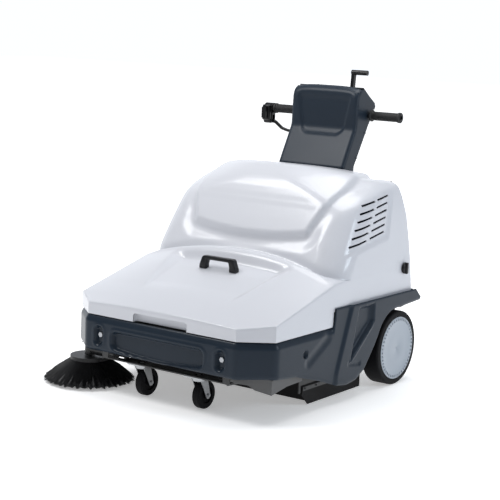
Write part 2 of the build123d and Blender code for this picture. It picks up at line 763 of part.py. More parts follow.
def make_flap_strips():
    """Metal strips that clamp the flaps, with their screw heads."""
    x0 = flap_x + flap_thick
    y0 = y_brush - 212
    y1 = y_brush + 176
    strip = block(x0, x0 + 2, y0, y1, flap_clamp_low, flap_clamp_low + 14)
    count = 6
    for i in range(count):
        y = y0 + 14 + (y1 - y0 - 28) * i / (count - 1)
        strip += rod_x(4, x0 + 1, x0 + 5, y, flap_clamp_low + 7)
    back = y_brush + brush_radius + 22 + plate + flap_thick
    rear_strip = block(-x_plate_in + 8, x_plate_in - 8, back, back + 2, 92, 106)
    for i in range(7):
        x = (x_plate_in - 24) * (i - 3) / 3
        rear_strip += rod_y(4, back + 1, back + 5, x, 99)
    return group(strip, mirrored(strip), rear_strip)


# ---------------------------------------------------------------- hopper, filter, fan, batteries
hopper_front = y_front + 58
hopper_half = x_plate_in - 26


def make_hopper():
    """Debris hopper: an open box with a low back edge that the brush throws over."""
    y0 = hopper_front
    y1 = hopper_front + hopper_depth
    w = hopper_wall
    tub = block(-hopper_half, hopper_half, y0, y1, hopper_low, hopper_high)
    tub = tub - block(-hopper_half + w, hopper_half - w, y0 + w, y1 - w, hopper_low + w, hopper_high + 1)
    mouth = block(-hopper_half + 30, hopper_half - 30, y1 - w - 1, y1 + 1, hopper_low + 55, hopper_high + 1)
    return tub - mouth


def make_hopper_handle():
    """Bent rod across the hopper to lift it by."""
    y = hopper_front + 150
    z = hopper_high + 26
    half = hopper_half - hopper_wall - 5
    rail = rod_x(5, -half, half, y, z)
    leg = rod_z(5, hopper_high - 60, z, half, y)
    foot = block(half - 6, half + 5, y - 16, y + 16, hopper_high - 70, hopper_high - 40)
    return rail + leg + mirrored(leg) + foot + mirrored(foot)


duct_y = (y_brush - 60, y_brush + 100)
duct_half = 230.0
duct_low = z_brush + brush_radius + 14
duct_high = duct_low + 198


def make_filter_housing():
    """Suction box over the brush chamber that holds the filter."""
    y0, y1 = duct_y
    w = 3.0
    box = block(-duct_half, duct_half, y0, y1, duct_low, duct_high)
    box = box - block(-duct_half + w, duct_half - w, y0 + w, y1 - w, duct_low - 1, duct_high - w)
    port = rod_z(38, duct_high - 10, duct_high + 5, 0, (y0 + y1) / 2)
    return box - port


def make_filter_cartridge():
    """Pleated panel filter across the suction box."""
    y0, y1 = duct_y
    w = 3.0
    z = duct_low + 95
    edge = block(-duct_half + w, duct_half - w, y0 + w, y1 - w, z, z + 60)
    edge = edge - block(-duct_half + w + 8, duct_half - w - 8, y0 + w + 8, y1 - w - 8, z - 1, z + 61)
    span = 2 * (duct_half - w - 8)
    count = 18
    pitch = span / count
    points = []
    for i in range(count + 1):
        points.append((-span / 2 + pitch * i, z + 54))
        if i < count:
            points.append((-span / 2 + pitch * (i + 0.5), z + 10))
    lower = [(x, zz - 5) for x, zz in reversed(points)]
    face = make_face(Polyline(*(points + lower), close=True))
    pleats = extrude(Plane.XZ * face, amount=-(y1 - y0 - 2 * w - 16))
    return edge + Pos(0, y0 + w + 8, 0) * pleats


def make_fan_housing():
    """Suction fan: a snail housing with its motor on top."""
    y = (duct_y[0] + duct_y[1]) / 2
    volute = rod_z(76, duct_high, duct_high + 52, 0, y)
    outlet = block(0, 120, y + 30, y + 76, duct_high, duct_high + 52)
    motor = rod_z(38, duct_high + 51, duct_high + 110, 0, y)
    return volute + outlet + motor


tray_y0 = y_wheel - 178
tray_y1 = tray_y0 + battery_size[1] + 12


def make_battery_tray():
    """Folded tray that holds the batteries on the rear deck."""
    half = battery_size[0] + 16
    z = deck_plate_top
    tray = block(-half, half, tray_y0, tray_y1, z, z + 42)
    return tray - block(-half + 3, half - 3, tray_y0 + 3, tray_y1 - 3, z + 3, z + 50)


def make_batteries():
    """Two lead-acid blocks side by side, with their terminal posts."""
    wide, deep, high = battery_size
    y0 = tray_y0 + 6
    z0 = deck_plate_top + 3
    cells = []
    for side in (-1, 1):
        x = side * (wide / 2 + 5)
        cell = block(x - wide / 2, x + wide / 2, y0, y0 + deep, z0, z0 + high)
        cell += block(x - wide / 2 + 8, x + wide / 2 - 8, y0 + 8, y0 + deep - 8, z0 + high - 1, z0 + high + 6)
        for post in (-1, 1):
            cell += rod_z(8, z0 + high, z0 + high + 20, x + post * 60, y0 + 26)
        cells.append(cell)
    return group(*cells)


# ---------------------------------------------------------------- rear cover, neck and console
def make_rear_cover():
    """Sloping cover behind the batteries, between the bonnet's sides, round the neck."""
    c = y_console
    w = half_bonnet
    band = [(c + 352, 764), (c + 356, 764), (c + 436, 352), (c + 432, 352)]
    widths = [(352, w - 16), (600, w - 27), (700, w - 40), (764, w - 66)]
    right = [(x, z) for z, x in widths]
    left = [(-x, z) for z, x in reversed(widths)]
    front = make_face(Polyline(*(right + left), close=True))
    cover = side_prism(band, -w, w) & (Pos(0, y_tail + 50, 0) * extrude(Plane.XZ * front, amount=400))
    cover += block(-w + 30, w - 30, c + 400, c + 433, 352, 356)
    foot = block(x_plate_in - 40, x_plate_in - 4, c + 392, c + 418, deck_plate_top, 354)
    cover += foot + mirrored(foot)
    cover = cover - inlet_place() * Cylinder(20, 60)
    return cover - block(-half_console - 1, half_console + 1, c + 300, c + 440, 600, 800)


def inlet_spot():
    """Where the charging inlet sits on the sloping cover."""
    t = 0.62
    return (y_console + 356 + 80 * t, 764 - 412 * t)


def inlet_place():
    """Axis of the charging inlet: square to the cover."""
    y, z = inlet_spot()
    return Plane(origin=(150, y, z), x_dir=(1, 0, 0), z_dir=(0, 412, 80)).location


def make_charge_inlet():
    """Round charging inlet: a flange, a barrel through the cover and a recessed socket."""
    flange = Pos(0, 0, 2.5) * Cylinder(28, 5)
    barrel = Pos(0, 0, -17) * Cylinder(19.9, 38)
    socket = Pos(0, 0, -6) * Cylinder(15, 24)
    return inlet_place() * (flange + barrel - socket)


def make_neck_frame():
    """Two steel uprights from the rear deck to the handlebar, tied by cross plates."""
    c = y_console
    outline = [
        (c + 330, deck_plate_top), (c + 372, deck_plate_top), (c + 388, 780), (c + 452, 930),
        (y_bar - 15, bar_high - 24), (y_bar + 12, bar_high), (y_bar + 14, bar_high + 16),
        (y_bar - 50, bar_high + 16), (c + 430, 935), (c + 358, 780),
    ]
    right = side_prism(outline, 112, 118)
    frame = right + mirrored(right)
    frame += block(-113, 113, c + 360, c + 364, 720, 780)
    frame += block(-113, 113, c + 345, c + 349, 340, 400)
    for x in hinge_x():
        side = 1 if x > 0 else -1
        frame += block(side * 117, side * 127, y_hinge + 12, y_hinge + 60, z_hinge - 28, z_hinge - 8)
    return frame - rod_x(bar_radius, -200, 200, y_bar, bar_high)


def console_outline(inset):
    """Side outline of the console: leaning neck, upright front, rounded crest, sloping panel."""
    c = y_console
    i = inset
    return [
        (c + 345 + i, 640), (c + 345 + i, 797), (c + 420 + i, 940 - i / 3), (c + 425 + i, 1063 - i / 3),
        (c + 429 + i, 1081 - i / 2), (c + 440 + i / 2, 1096 - i), (c + 457, 1105 - i), (c + 472, 1104 - i * 1.2),
        (c + 567 - i, 1037 - i), (c + 567 - i, 1026), (c + 520 - i, 957), (c + 427 - i, 797), (c + 425 - i, 640),
    ]


panel_angle = degrees(atan2(1104 - 1037, 567 - 472))


def panel_place(x, along):
    """A spot on the sloping panel: x across, and a distance down it from the crest."""
    a = panel_angle * pi / 180
    y = y_console + 472 + along * cos(a)
    z = 1104 - along * sin(a)
    return Plane(origin=(x, y, z), x_dir=(1, 0, 0), z_dir=(0, sin(a), cos(a))).location


lever_x = 87.0
lever_slot_middle = 50.0
lever_slot_long = 80.0
lever_lean = 5.0            # how far the lift lever leans back at rest, degrees
panel_long = 98.0
panel_start = 4.0


dish_half = 104.0            # half width of the panel pressed into the console's front


def make_console_front_shell():
    """Front, sides and crest of the console, with a shallow panel pressed into the front."""
    w = console_wall
    outer = side_prism(console_outline(0), -half_console, half_console)
    inner = side_prism(console_outline(w), -half_console + w, half_console - w)
    shell = outer - inner
    c = y_console
    behind = [(c + 470, 1120), (c + 620, 1020), (c + 520, 900), (c + 427, 780), (c + 427, 600), (c + 400, 600),
              (c + 400, 797), (c + 500, 960), (c + 540, 1030), (c + 472, 1080)]
    shell = shell - side_prism(behind, -half_console + w, half_console - w)
    dish = [(c + 415, 949), (c + 420.5, 1060), (c + 426.5, 1060), (c + 421, 949)]
    shell = shell - side_prism(dish, -dish_half, dish_half)
    shell = shell - rod_x(bar_radius, -half_console - 5, half_console + 5, y_bar, bar_high)
    base = block(-half_console - 1, half_console + 1, c + 340, c + 430, 600, 690)
    wing_gap = block(-half_console - 1, half_console + 1, y_hinge + 6, y_hinge + 62, z_hinge - 30, z_hinge + 6)
    return shell - base - wing_gap


def make_console_rear_shell():
    """Cover that closes the console towards the operator, below the panel."""
    c = y_console
    w = console_wall
    band = [(c + 562, 1030), (c + 562, 1024), (c + 515, 956), (c + 422, 797), (c + 420, 700), (c + 417, 700),
            (c + 418, 798), (c + 511, 958), (c + 557, 1026), (c + 557, 1030)]
    return side_prism(band, -half_console + w, half_console - w)


def make_control_panel():
    """Sloping control plate with its slot for the lift lever and its holes."""
    w = console_wall
    half = half_console - w
    plate_body = panel_place(0, panel_start + panel_long / 2) * Pos(0, 0, -w / 2) * Box(2 * half, panel_long, w)
    slot = panel_place(lever_x, lever_slot_middle) * Box(26, lever_slot_long, 30)
    key_hole = panel_place(-90, 50) * Cylinder(9, 30)
    button_hole = panel_place(-40, 50) * Cylinder(10.2, 30)
    gauge_hole = panel_place(22, 50) * Box(56, 36, 30)
    return plate_body - slot - key_hole - button_hole - gauge_hole


def make_battery_gauge():
    """Small charge gauge let into the panel: a bezel round a window."""
    bezel = Pos(0, 0, 2) * Box(64, 44, 4) - Pos(0, 0, 4) * Box(52, 32, 4)
    body = Pos(0, 0, -9.5) * Box(55, 35, 21)
    return panel_place(22, 50) * (bezel + body)


def make_console_screws():
    """Screws along the rear edges of the console's sides, and at the panel's corners."""
    c = y_console
    spots = ((c + 548, 1014), (c + 496, 925), (c + 440, 830))
    screws = []
    for y, z in spots:
        screws.append(rod_x(4, half_console, half_console + 3, y, z))
        screws.append(rod_x(4, -half_console - 3, -half_console, y, z))
    for x in (-half_console + 12, half_console - 12):
        for along in (panel_start + 10, panel_start + panel_long - 10):
            screws.append(panel_place(x, along) * Pos(0, 0, 1) * Cylinder(4, 2))
    return group(*screws)


key_barrel = 8.9


def make_key():
    """Key in its barrel."""
    barrel = Pos(0, 0, -6) * Cylinder(key_barrel, 16)
    blade = Pos(0, 0, 5) * Box(3, 12, 8)
    bow = Pos(0, 0, 17) * Box(4, 26, 18)
    return panel_place(-90, 50) * (barrel + blade + bow)


def make_start_button():
    """Round start button in the panel."""
    cap = Pos(0, 0, 3) * Cylinder(10, 6)
    stem = Pos(0, 0, -10) * Cylinder(7, 22)
    return panel_place(-40, 50) * (cap + stem)


pivot_y = y_console + 480
pivot_z = bar_high - 38


lever_reach = 204.0


def make_lift_lever():
    """L-shaped lever: a hub on its pivot, a flat stem through the panel and a handle across."""
    reach = lever_reach
    hub = rod_x(16, lever_x - 8, lever_x + 8, 0, 0)
    stem = block(lever_x - 7, lever_x + 7, -8, 8, 0, reach - 4)
    handle = rod_x(10, lever_x - 8, lever_x + 62, 0, reach)
    lever = hub + stem + handle - rod_x(6 + running_clearance, 0, 200, 0, 0)
    return Pos(0, pivot_y, pivot_z) * Rot(-lever_lean, 0, 0) * lever


def make_lever_pivot():
    """Pin of the lift lever, fixed across the neck's right upright."""
    pin = rod_x(6, lever_x - 20, 112, pivot_y, pivot_z)
    return pin


def make_handlebar():
    """Straight steel tube through the console."""
    return ring_x(bar_radius, bar_radius - 2, -half_console - grip_length - 54, half_console + grip_length + 6,
                  y_bar, bar_high)


def make_grip(side):
    """Ribbed rubber grip with a flange at each end."""
    x0 = half_console + 4
    x1 = x0 + grip_length
    grip = rod_x(grip_radius, x0, x1, y_bar, bar_high)
    grip += rod_x(grip_radius + 6, x0, x0 + 6, y_bar, bar_high)
    grip += rod_x(grip_radius + 3, x1 - 7, x1, y_bar, bar_high)
    for i in range(8):
        x = x0 + 16 + i * 13
        grip += rod_x(grip_radius + 0.8, x, x + 6, y_bar, bar_high)
    grip = grip - rod_x(bar_radius, x0 - 1, x1 + 1, y_bar, bar_high)
    return grip if side > 0 else mirrored(grip)


housing_x = -(half_console + grip_length + 28)
lever_pivot_x = housing_x - 6
lever_pivot_z = bar_high - 48


def make_lever_housing():
    """Clamp on the left end of the bar that carries the hand lever and the button."""
    clamp = rod_x(21, housing_x - 21, housing_x + 19, y_bar, bar_high)
    body = block(housing_x - 21, housing_x + 19, y_bar - 22, y_bar + 14, bar_high - 62, bar_high + 4)
    nose = block(housing_x - 19, housing_x + 17, y_bar - 34, y_bar - 20, bar_high - 50, bar_high + 14)
    shape = clamp + body + nose
    shape = shape - rod_x(bar_radius, housing_x - 60, housing_x + 60, y_bar, bar_high)
    slot = block(housing_x - 17, housing_x + 20, y_bar - 10, y_bar + 6, bar_high - 70, bar_high - 30)
    shape = shape - slot - rod_y(4, y_bar - 40, y_bar + 40, lever_pivot_x, lever_pivot_z)
    return shape - block(housing_x - 11, housing_x + 9, y_bar - 36, y_bar - 26, bar_high - 40, bar_high + 4)


def make_hand_lever():
    """Hand lever that runs under the left grip, on its own pin."""
    pin = rod_y(4 - running_clearance, y_bar - 21, y_bar + 13, lever_pivot_x, lever_pivot_z)
    z = lever_pivot_z
    x = lever_pivot_x
    blade = [(x - 8, z + 7), (x + 8, z + 8), (x + 40, z - 4), (x + 70, z - 26), (x + 150, z - 42),
             (x + 158, z - 50), (x + 150, z - 54), (x + 66, z - 38), (x + 34, z - 14), (x + 4, z - 9)]
    face = make_face(Polyline(*blade, close=True))
    bar = extrude(Plane.XZ * face, amount=-13)
    return Pos(0, y_bar - 8.5, 0) * bar + pin


def make_lock_button():
    """Yellow safety button in the lever housing."""
    low = bar_high - 39.5
    return block(housing_x - 10.5, housing_x + 8.5, y_bar - 38, y_bar - 30, low, bar_high + 3.5)


# ---------------------------------------------------------------- all pieces
parts["chassis_frame"] = make_chassis_frame()
parts["front_crossmember"] = make_front_crossmember()
parts["lower_skirt"] = make_lower_skirt()
parts["skirt_bolts"] = make_skirt_bolts()
parts["rear_cover"] = make_rear_cover()
parts["neck_frame"] = make_neck_frame()
parts["console_front_shell"] = make_console_front_shell()
parts["console_rear_shell"] = make_console_rear_shell()
parts["console_screws"] = make_console_screws()
parts["control_panel"] = make_control_panel()
parts["battery_gauge"] = make_battery_gauge()
parts["handlebar"] = make_handlebar()
parts["hand_grips"] = group(make_grip(1), make_grip(-1))
parts["lever_housing"] = make_lever_housing()
parts["lever_pivot"] = make_lever_pivot()
parts["battery_tray"] = make_battery_tray()
parts["batteries"] = make_batteries()
parts["charge_inlet"] = make_charge_inlet()
parts["filter_housing"] = make_filter_housing()
parts["filter_cartridge"] = make_filter_cartridge()
parts["fan_housing"] = make_fan_housing()
parts["brush_motor"] = make_brush_motor()
parts["bearings"] = make_bearings()
parts["drive_belt"] = make_drive_belt()
parts["drive_unit"] = make_drive_unit()
parts["hopper"] = make_hopper()
parts["hopper_handle"] = make_hopper_handle()
parts["side_flaps"] = make_side_flaps()
parts["end_flaps"] = make_end_flaps()
parts["flap_strips"] = make_flap_strips()
parts["caster_plates"] = make_caster_plates()
parts["hinge_brackets"] = make_hinge_brackets()
parts["bonnet"] = make_bonnet()
parts["bonnet_handle"] = make_bonnet_handle()
parts["hinge_leaves"] = make_hinge_leaves()
parts["bonnet_lock_right"] = make_lock()
parts["bonnet_lock_left"] = mirrored(make_lock())
for name, side in (("right", 1), ("left", -1)):
    pieces = {"tyre": make_tyre(), "rim": make_rim(), "hubcap": make_hubcap()}
    for kind, piece in pieces.items():
        parts[f"{kind}_{name}"] = piece if side > 0 else mirrored(piece)
    parts[f"caster_fork_{name}"] = make_caster_fork(side)
    parts[f"caster_wheel_{name}"] = make_caster_wheel(side)
parts["main_brush_core"] = make_main_brush_core()
parts["main_brush_bristles"] = make_main_brush_bristles()
parts["main_brush_pulley"] = make_pulley(brush_pulley_radius, y_brush, z_brush, brush_shaft_radius)
parts["motor_pulley"] = make_motor_pulley()
parts["side_brush_disc"] = make_side_brush_disc()
parts["side_brush_bristles"] = make_side_brush_bristles()
parts["side_brush_arm"] = make_side_brush_arm()
parts["side_brush_motor"] = make_side_brush_motor()
parts["hand_lever"] = make_hand_lever()
parts["lock_button"] = make_lock_button()
parts["lift_lever"] = make_lift_lever()
parts["key"] = make_key()
parts["start_button"] = make_start_button()

# The origin is the floor point under the centre of the whole machine's box.
boxes = [piece.bounding_box() for piece in parts.values()]
low_x = min(box.min.X for box in boxes)
high_x = max(box.max.X for box in boxes)
low_y = min(box.min.Y for box in boxes)
high_y = max(box.max.Y for box in boxes)
low_z = min(box.min.Z for box in boxes)
shift = (-(low_x + high_x) / 2, -(low_y + high_y) / 2, -low_z)

os.makedirs("parts", exist_ok=True)
for name, piece in parts.items():
    export_step(Pos(*shift) * piece, f"parts/{name}.step")
print(len(parts), "nodes, moved by", [round(value, 3) for value in shift])
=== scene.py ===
# %% [markdown]
# # A walk-behind battery sweeper
#
# The machine is a white one-piece bonnet over a dark slate skirt, with a side brush at one front
# corner, two casters, two big rear wheels and a console that carries the handlebar. The engineering
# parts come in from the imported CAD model. The mouldings, the bristles and the finishes are made here.

# %% Load the frame
import math
import random

import bmesh
import bpy
import numpy as np
from mathutils import Euler, Matrix, Vector


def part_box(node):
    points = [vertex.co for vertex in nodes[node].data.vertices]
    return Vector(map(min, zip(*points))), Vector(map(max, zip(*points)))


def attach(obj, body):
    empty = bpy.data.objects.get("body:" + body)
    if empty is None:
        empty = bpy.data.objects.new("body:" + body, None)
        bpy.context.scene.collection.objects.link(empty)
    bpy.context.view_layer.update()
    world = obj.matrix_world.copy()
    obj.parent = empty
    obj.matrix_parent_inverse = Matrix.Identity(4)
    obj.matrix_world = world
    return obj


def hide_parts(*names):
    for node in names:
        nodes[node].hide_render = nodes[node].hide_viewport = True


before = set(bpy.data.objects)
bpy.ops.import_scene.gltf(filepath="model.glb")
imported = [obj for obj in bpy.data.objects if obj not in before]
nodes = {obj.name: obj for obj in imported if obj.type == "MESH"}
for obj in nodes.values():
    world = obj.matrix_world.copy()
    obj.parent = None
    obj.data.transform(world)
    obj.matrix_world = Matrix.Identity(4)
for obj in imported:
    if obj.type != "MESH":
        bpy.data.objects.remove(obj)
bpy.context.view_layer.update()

# %% [markdown]
# Everything is placed from one datum: the middle plane of the body, the bumper's front face and the
# floor. A point is given as it would be on the maker's drawing, and `at` turns it into the frame.

# %% Datum and the sizes that everything shares
skirt_low, skirt_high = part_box("lower_skirt")
middle = (skirt_low[0] + skirt_high[0]) / 2
half_body = (skirt_high[0] - skirt_low[0]) / 2
bumper_y = -0.571
tail_y = bumper_y + (skirt_high[1] - skirt_low[1])
shift = Vector((middle, skirt_low[1] - bumper_y, 0.0))


def at(x, y, z):
    """A drawing point as a frame point."""
    return Vector((x, y, z)) + shift


def drawn(node):
    """A CAD node's box on the drawing: low corner, high corner."""
    low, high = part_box(node)
    return Vector(low) - shift, Vector(high) - shift


print("body half width", round(half_body, 4), "tail at", round(tail_y, 4))

# %% [markdown]
# The camera stands at the machine's front right, a little above the bonnet, with a long lens, and is
# rolled by a couple of degrees. It is made first, because every later piece is judged through it.

# %% Camera
eye = at(3.0055, -4.2974, 1.3268)
aim = at(0.114, -0.200, 0.529)
camera_data = bpy.data.cameras.new("three_quarter_camera")
camera_data.lens = 101.9
camera_data.sensor_width = 36.0
camera_data.clip_end = 60.0
camera = bpy.data.objects.new("three_quarter_camera", camera_data)
bpy.context.scene.collection.objects.link(camera)
facing = (aim - eye).to_track_quat("-Z", "Y").to_matrix().to_4x4()
camera.matrix_world = Matrix.Translation(eye) @ facing @ Matrix.Rotation(math.radians(2.31), 4, "Z")
bpy.context.scene.camera = camera
print("camera", round((aim - eye).length, 3), "m from its aim")

# %% [markdown]
# A pale floor that glows, more strongly towards the back, and large soft lights, as in a product studio: the key
# from the front left and above, a weaker fill from the right, and one behind to draw the top edges.

# %% Floor and lights
floor_mesh = bpy.data.meshes.new("studio_floor")
floor_bm = bmesh.new()
bmesh.ops.create_grid(floor_bm, x_segments=1, y_segments=1, size=30.0)
floor_bm.to_mesh(floor_mesh)
floor_bm.free()
floor = bpy.data.objects.new("studio_floor", floor_mesh)
bpy.context.scene.collection.objects.link(floor)


def soft_light(name, place, target, width, power, tint=(1.0, 1.0, 1.0)):
    """A square softbox at a drawing point, turned to a target."""
    data = bpy.data.lights.new(name, "AREA")
    data.shape = "SQUARE"
    data.size = width
    data.energy = power
    data.color = tint
    lamp = bpy.data.objects.new(name, data)
    bpy.context.scene.collection.objects.link(lamp)
    here = at(*place)
    turn = (at(*target) - here).to_track_quat("-Z", "Y").to_matrix().to_4x4()
    lamp.matrix_world = Matrix.Translation(here) @ turn


soft_light("key_softbox", (-1.5, -1.7, 3.4), (0.0, -0.1, 0.4), 1.3, 62.0)
soft_light("top_softbox", (0.2, 0.5, 3.4), (0.0, 0.0, 0.5), 1.8, 50.0)
soft_light("right_softbox", (3.2, 0.6, 1.6), (0.3, 0.0, 0.4), 0.9, 22.0, (0.80, 0.90, 1.0))

world = bpy.data.worlds.new("studio_world")
bpy.context.scene.world = world
world.use_nodes = True
sky_nodes, sky_links = world.node_tree.nodes, world.node_tree.links
sky = sky_nodes["Background"]
sky.inputs["Color"].default_value = (0.90, 0.94, 1.0, 1.0)
sky_place = sky_nodes.new("ShaderNodeTexCoord")
sky_side = sky_nodes.new("ShaderNodeVectorMath")
sky_side.operation = "DOT_PRODUCT"
sky_side.inputs[1].default_value = (-0.575, 0.818, -0.9)
sky_ramp = sky_nodes.new("ShaderNodeMapRange")
for socket, value in (("From Min", 0.10), ("From Max", 0.62), ("To Min", 0.36), ("To Max", 1.1)):
    sky_ramp.inputs[socket].default_value = value
sky_links.new(sky_place.outputs["Generated"], sky_side.inputs[0])
sky_links.new(sky_side.outputs["Value"], sky_ramp.inputs["Value"])
sky_links.new(sky_ramp.outputs["Result"], sky.inputs["Strength"])
bpy.context.scene.view_settings.view_transform = "Standard"
print("floor, three softboxes and a pale world")

# %% [markdown]
# ## Finishes
#
# Moulded plastic, painted steel and rubber all have a fine grain: a small change of shade, a change of
# gloss and a slight bump. One node group makes all three from the object's own coordinates, and each
# material sets its strength. The shader itself stays in the material.

# %% The shared grain group
def make_grain_group():
    """Node group: shade, gloss and height of a finely grained surface."""
    group = bpy.data.node_groups.new("SurfaceGrain", "ShaderNodeTree")
    face = group.interface
    face.new_socket("Color", in_out="INPUT", socket_type="NodeSocketColor")
    for name, value in (("Variation", 0.05), ("Grain Scale", 900.0), ("Cloud Scale", 6.0),
                        ("Roughness", 0.4), ("Gloss Spread", 0.08), ("Dust", 0.0)):
        socket = face.new_socket(name, in_out="INPUT", socket_type="NodeSocketFloat")
        socket.default_value = value
    face.new_socket("Color", in_out="OUTPUT", socket_type="NodeSocketColor")
    face.new_socket("Roughness", in_out="OUTPUT", socket_type="NodeSocketFloat")
    face.new_socket("Height", in_out="OUTPUT", socket_type="NodeSocketFloat")
    tree = group.nodes
    link = group.links.new
    inside = tree.new("NodeGroupInput")
    outside = tree.new("NodeGroupOutput")
    where = tree.new("ShaderNodeTexCoord")
    grain = tree.new("ShaderNodeTexNoise")
    grain.inputs["Detail"].default_value = 3.0
    cloud = tree.new("ShaderNodeTexNoise")
    cloud.inputs["Detail"].default_value = 4.0
    link(where.outputs["Object"], grain.inputs["Vector"])
    link(where.outputs["Object"], cloud.inputs["Vector"])
    link(inside.outputs["Grain Scale"], grain.inputs["Scale"])
    link(inside.outputs["Cloud Scale"], cloud.inputs["Scale"])

    def math_node(kind, first, second):
        node = tree.new("ShaderNodeMath")
        node.operation = kind
        for socket, value in zip(node.inputs, (first, second)):
            if isinstance(value, float):
                socket.default_value = value
            else:
                link(value, socket)
        return node.outputs[0]

    both = math_node("ADD", math_node("MULTIPLY", grain.outputs["Fac"], 0.45),
                     math_node("MULTIPLY", cloud.outputs["Fac"], 0.55))
    centred = math_node("SUBTRACT", both, 0.5)
    shade = math_node("ADD", math_node("MULTIPLY", centred, inside.outputs["Variation"]), 1.0)
    tint = tree.new("ShaderNodeVectorMath")
    tint.operation = "SCALE"
    link(inside.outputs["Color"], tint.inputs[0])
    link(shade, tint.inputs["Scale"])
    split = tree.new("ShaderNodeSeparateXYZ")
    link(where.outputs["Object"], split.inputs[0])
    low = tree.new("ShaderNodeMapRange")
    low.inputs["From Min"].default_value = 0.30
    low.inputs["From Max"].default_value = 0.0
    link(split.outputs["Z"], low.inputs["Value"])
    dusty = math_node("MULTIPLY", math_node("MULTIPLY", low.outputs[0], cloud.outputs["Fac"]),
                      inside.outputs["Dust"])
    mix = tree.new("ShaderNodeMix")
    mix.data_type = "RGBA"
    mix.inputs["B"].default_value = (0.32, 0.29, 0.25, 1.0)
    link(dusty, mix.inputs["Factor"])
    link(tint.outputs[0], mix.inputs["A"])
    link(mix.outputs["Result"], outside.inputs["Color"])
    spread = math_node("MULTIPLY", centred, inside.outputs["Gloss Spread"])
    link(math_node("ADD", spread, inside.outputs["Roughness"]), outside.inputs["Roughness"])
    link(grain.outputs["Fac"], outside.inputs["Height"])
    return group


grain_group = make_grain_group()
print("node group", grain_group.name, "with", len(grain_group.nodes), "nodes")

# %% [markdown]
# A finish is the shader plus that group. Metals turn Metallic up, the white bonnet and the slate
# skirt get a clear coat for the gloss of a polished mould, and rubber stays dull.

# %% A maker of finishes
def finish(name, color, rough, variation=0.06, grain=900.0, cloud=6.0, spread=0.1, bump=0.05,
           depth=0.0004, metal=0.0, coat=0.0, coat_rough=0.08, dust=0.0, specular=0.5):
    """A material with a fine grain in its shade, gloss and surface."""
    material = bpy.data.materials.new(name)
    material.use_nodes = True
    tree = material.node_tree
    shader = tree.nodes["Principled BSDF"]
    shader.inputs["Metallic"].default_value = metal
    shader.inputs["Coat Weight"].default_value = coat
    shader.inputs["Coat Roughness"].default_value = coat_rough
    shader.inputs["Specular IOR Level"].default_value = specular
    surface = tree.nodes.new("ShaderNodeGroup")
    surface.node_tree = grain_group
    surface.inputs["Color"].default_value = (*color, 1.0)
    for socket, value in (("Variation", variation), ("Grain Scale", grain), ("Cloud Scale", cloud),
                          ("Roughness", rough), ("Gloss Spread", spread), ("Dust", dust)):
        surface.inputs[socket].default_value = value
    relief = tree.nodes.new("ShaderNodeBump")
    relief.inputs["Strength"].default_value = bump
    relief.inputs["Distance"].default_value = depth
    tree.links.new(surface.outputs["Color"], shader.inputs["Base Color"])
    tree.links.new(surface.outputs["Roughness"], shader.inputs["Roughness"])
    tree.links.new(surface.outputs["Height"], relief.inputs["Height"])
    tree.links.new(relief.outputs["Normal"], shader.inputs["Normal"])
    return material


white_gloss = finish("bonnet_white_gloss", (0.62, 0.63, 0.67), 0.34, variation=0.02, bump=0.02, coat=0.40,
                     coat_rough=0.11, specular=0.4)
slate = finish("slate_moulding", (0.012, 0.021, 0.034), 0.34, variation=0.10, grain=1400.0, bump=0.10, coat=0.16,
               coat_rough=0.20, dust=0.02, specular=0.14)
console_slate = finish("console_slate", (0.014, 0.023, 0.036), 0.40, variation=0.08, grain=1500.0, bump=0.10,
                       coat=0.04, coat_rough=0.2, specular=0.26)
black_plastic = finish("black_plastic", (0.006, 0.006, 0.007), 0.42, variation=0.25, bump=0.12, specular=0.35)
gloss_black = finish("gloss_black", (0.005, 0.005, 0.006), 0.28, variation=0.2, bump=0.04, coat=0.15,
                     specular=0.25)
black_rubber = finish("black_rubber", (0.005, 0.005, 0.006), 0.62, variation=0.35, grain=700.0, bump=0.2,
                      depth=0.0006, dust=0.0, specular=0.12)
grip_rubber = finish("grip_rubber", (0.012, 0.012, 0.013), 0.62, variation=0.3, bump=0.25, depth=0.0006)
flap_rubber = finish("flap_rubber", (0.006, 0.006, 0.007), 0.60, variation=0.4, grain=500.0, bump=0.3,
                     depth=0.0008, dust=0.03, specular=0.15)
bristle_nylon = finish("bristle_nylon", (0.009, 0.009, 0.010), 0.5, variation=0.6, grain=400.0, cloud=40.0,
                       bump=0.2)
black_steel = finish("black_painted_steel", (0.008, 0.009, 0.011), 0.40, variation=0.25, bump=0.1, coat=0.2,
                     dust=0.06)
grey_steel = finish("grey_painted_steel", (0.085, 0.087, 0.090), 0.46, variation=0.12, bump=0.12, metal=0.2,
                    dust=0.12)
zinc = finish("zinc_plate", (0.40, 0.41, 0.42), 0.32, variation=0.18, grain=300.0, cloud=25.0, spread=0.25,
              bump=0.08, metal=0.95)
bright_bolt = finish("bright_bolt", (0.42, 0.43, 0.45), 0.30, variation=0.12, bump=0.05, metal=1.0)
cap_grey = finish("hubcap_grey", (0.36, 0.40, 0.45), 0.42, variation=0.05, bump=0.06, coat=0.1)
# Near-black finish for the hubcap notches: painted shade standing in for the depth of the notches.
notch_painted_shade = finish("hubcap_notch_shadow", (0.045, 0.048, 0.052), 0.6, variation=0.1)
paper = finish("filter_paper", (0.62, 0.58, 0.47), 0.85, variation=0.25, grain=260.0, bump=0.5, depth=0.001)
battery_case = finish("battery_case", (0.055, 0.058, 0.065), 0.55, variation=0.2, bump=0.2)
yellow = finish("button_yellow", (0.74, 0.46, 0.02), 0.35, variation=0.08, coat=0.2)
green = finish("button_green", (0.02, 0.30, 0.06), 0.35, variation=0.08, coat=0.3)
window = finish("gauge_window", (0.02, 0.035, 0.03), 0.12, variation=0.1, bump=0.0, coat=0.8)
decal_red = finish("decal_red", (0.55, 0.02, 0.03), 0.4, variation=0.04)
decal_blue = finish("decal_blue", (0.03, 0.04, 0.30), 0.4, variation=0.04)
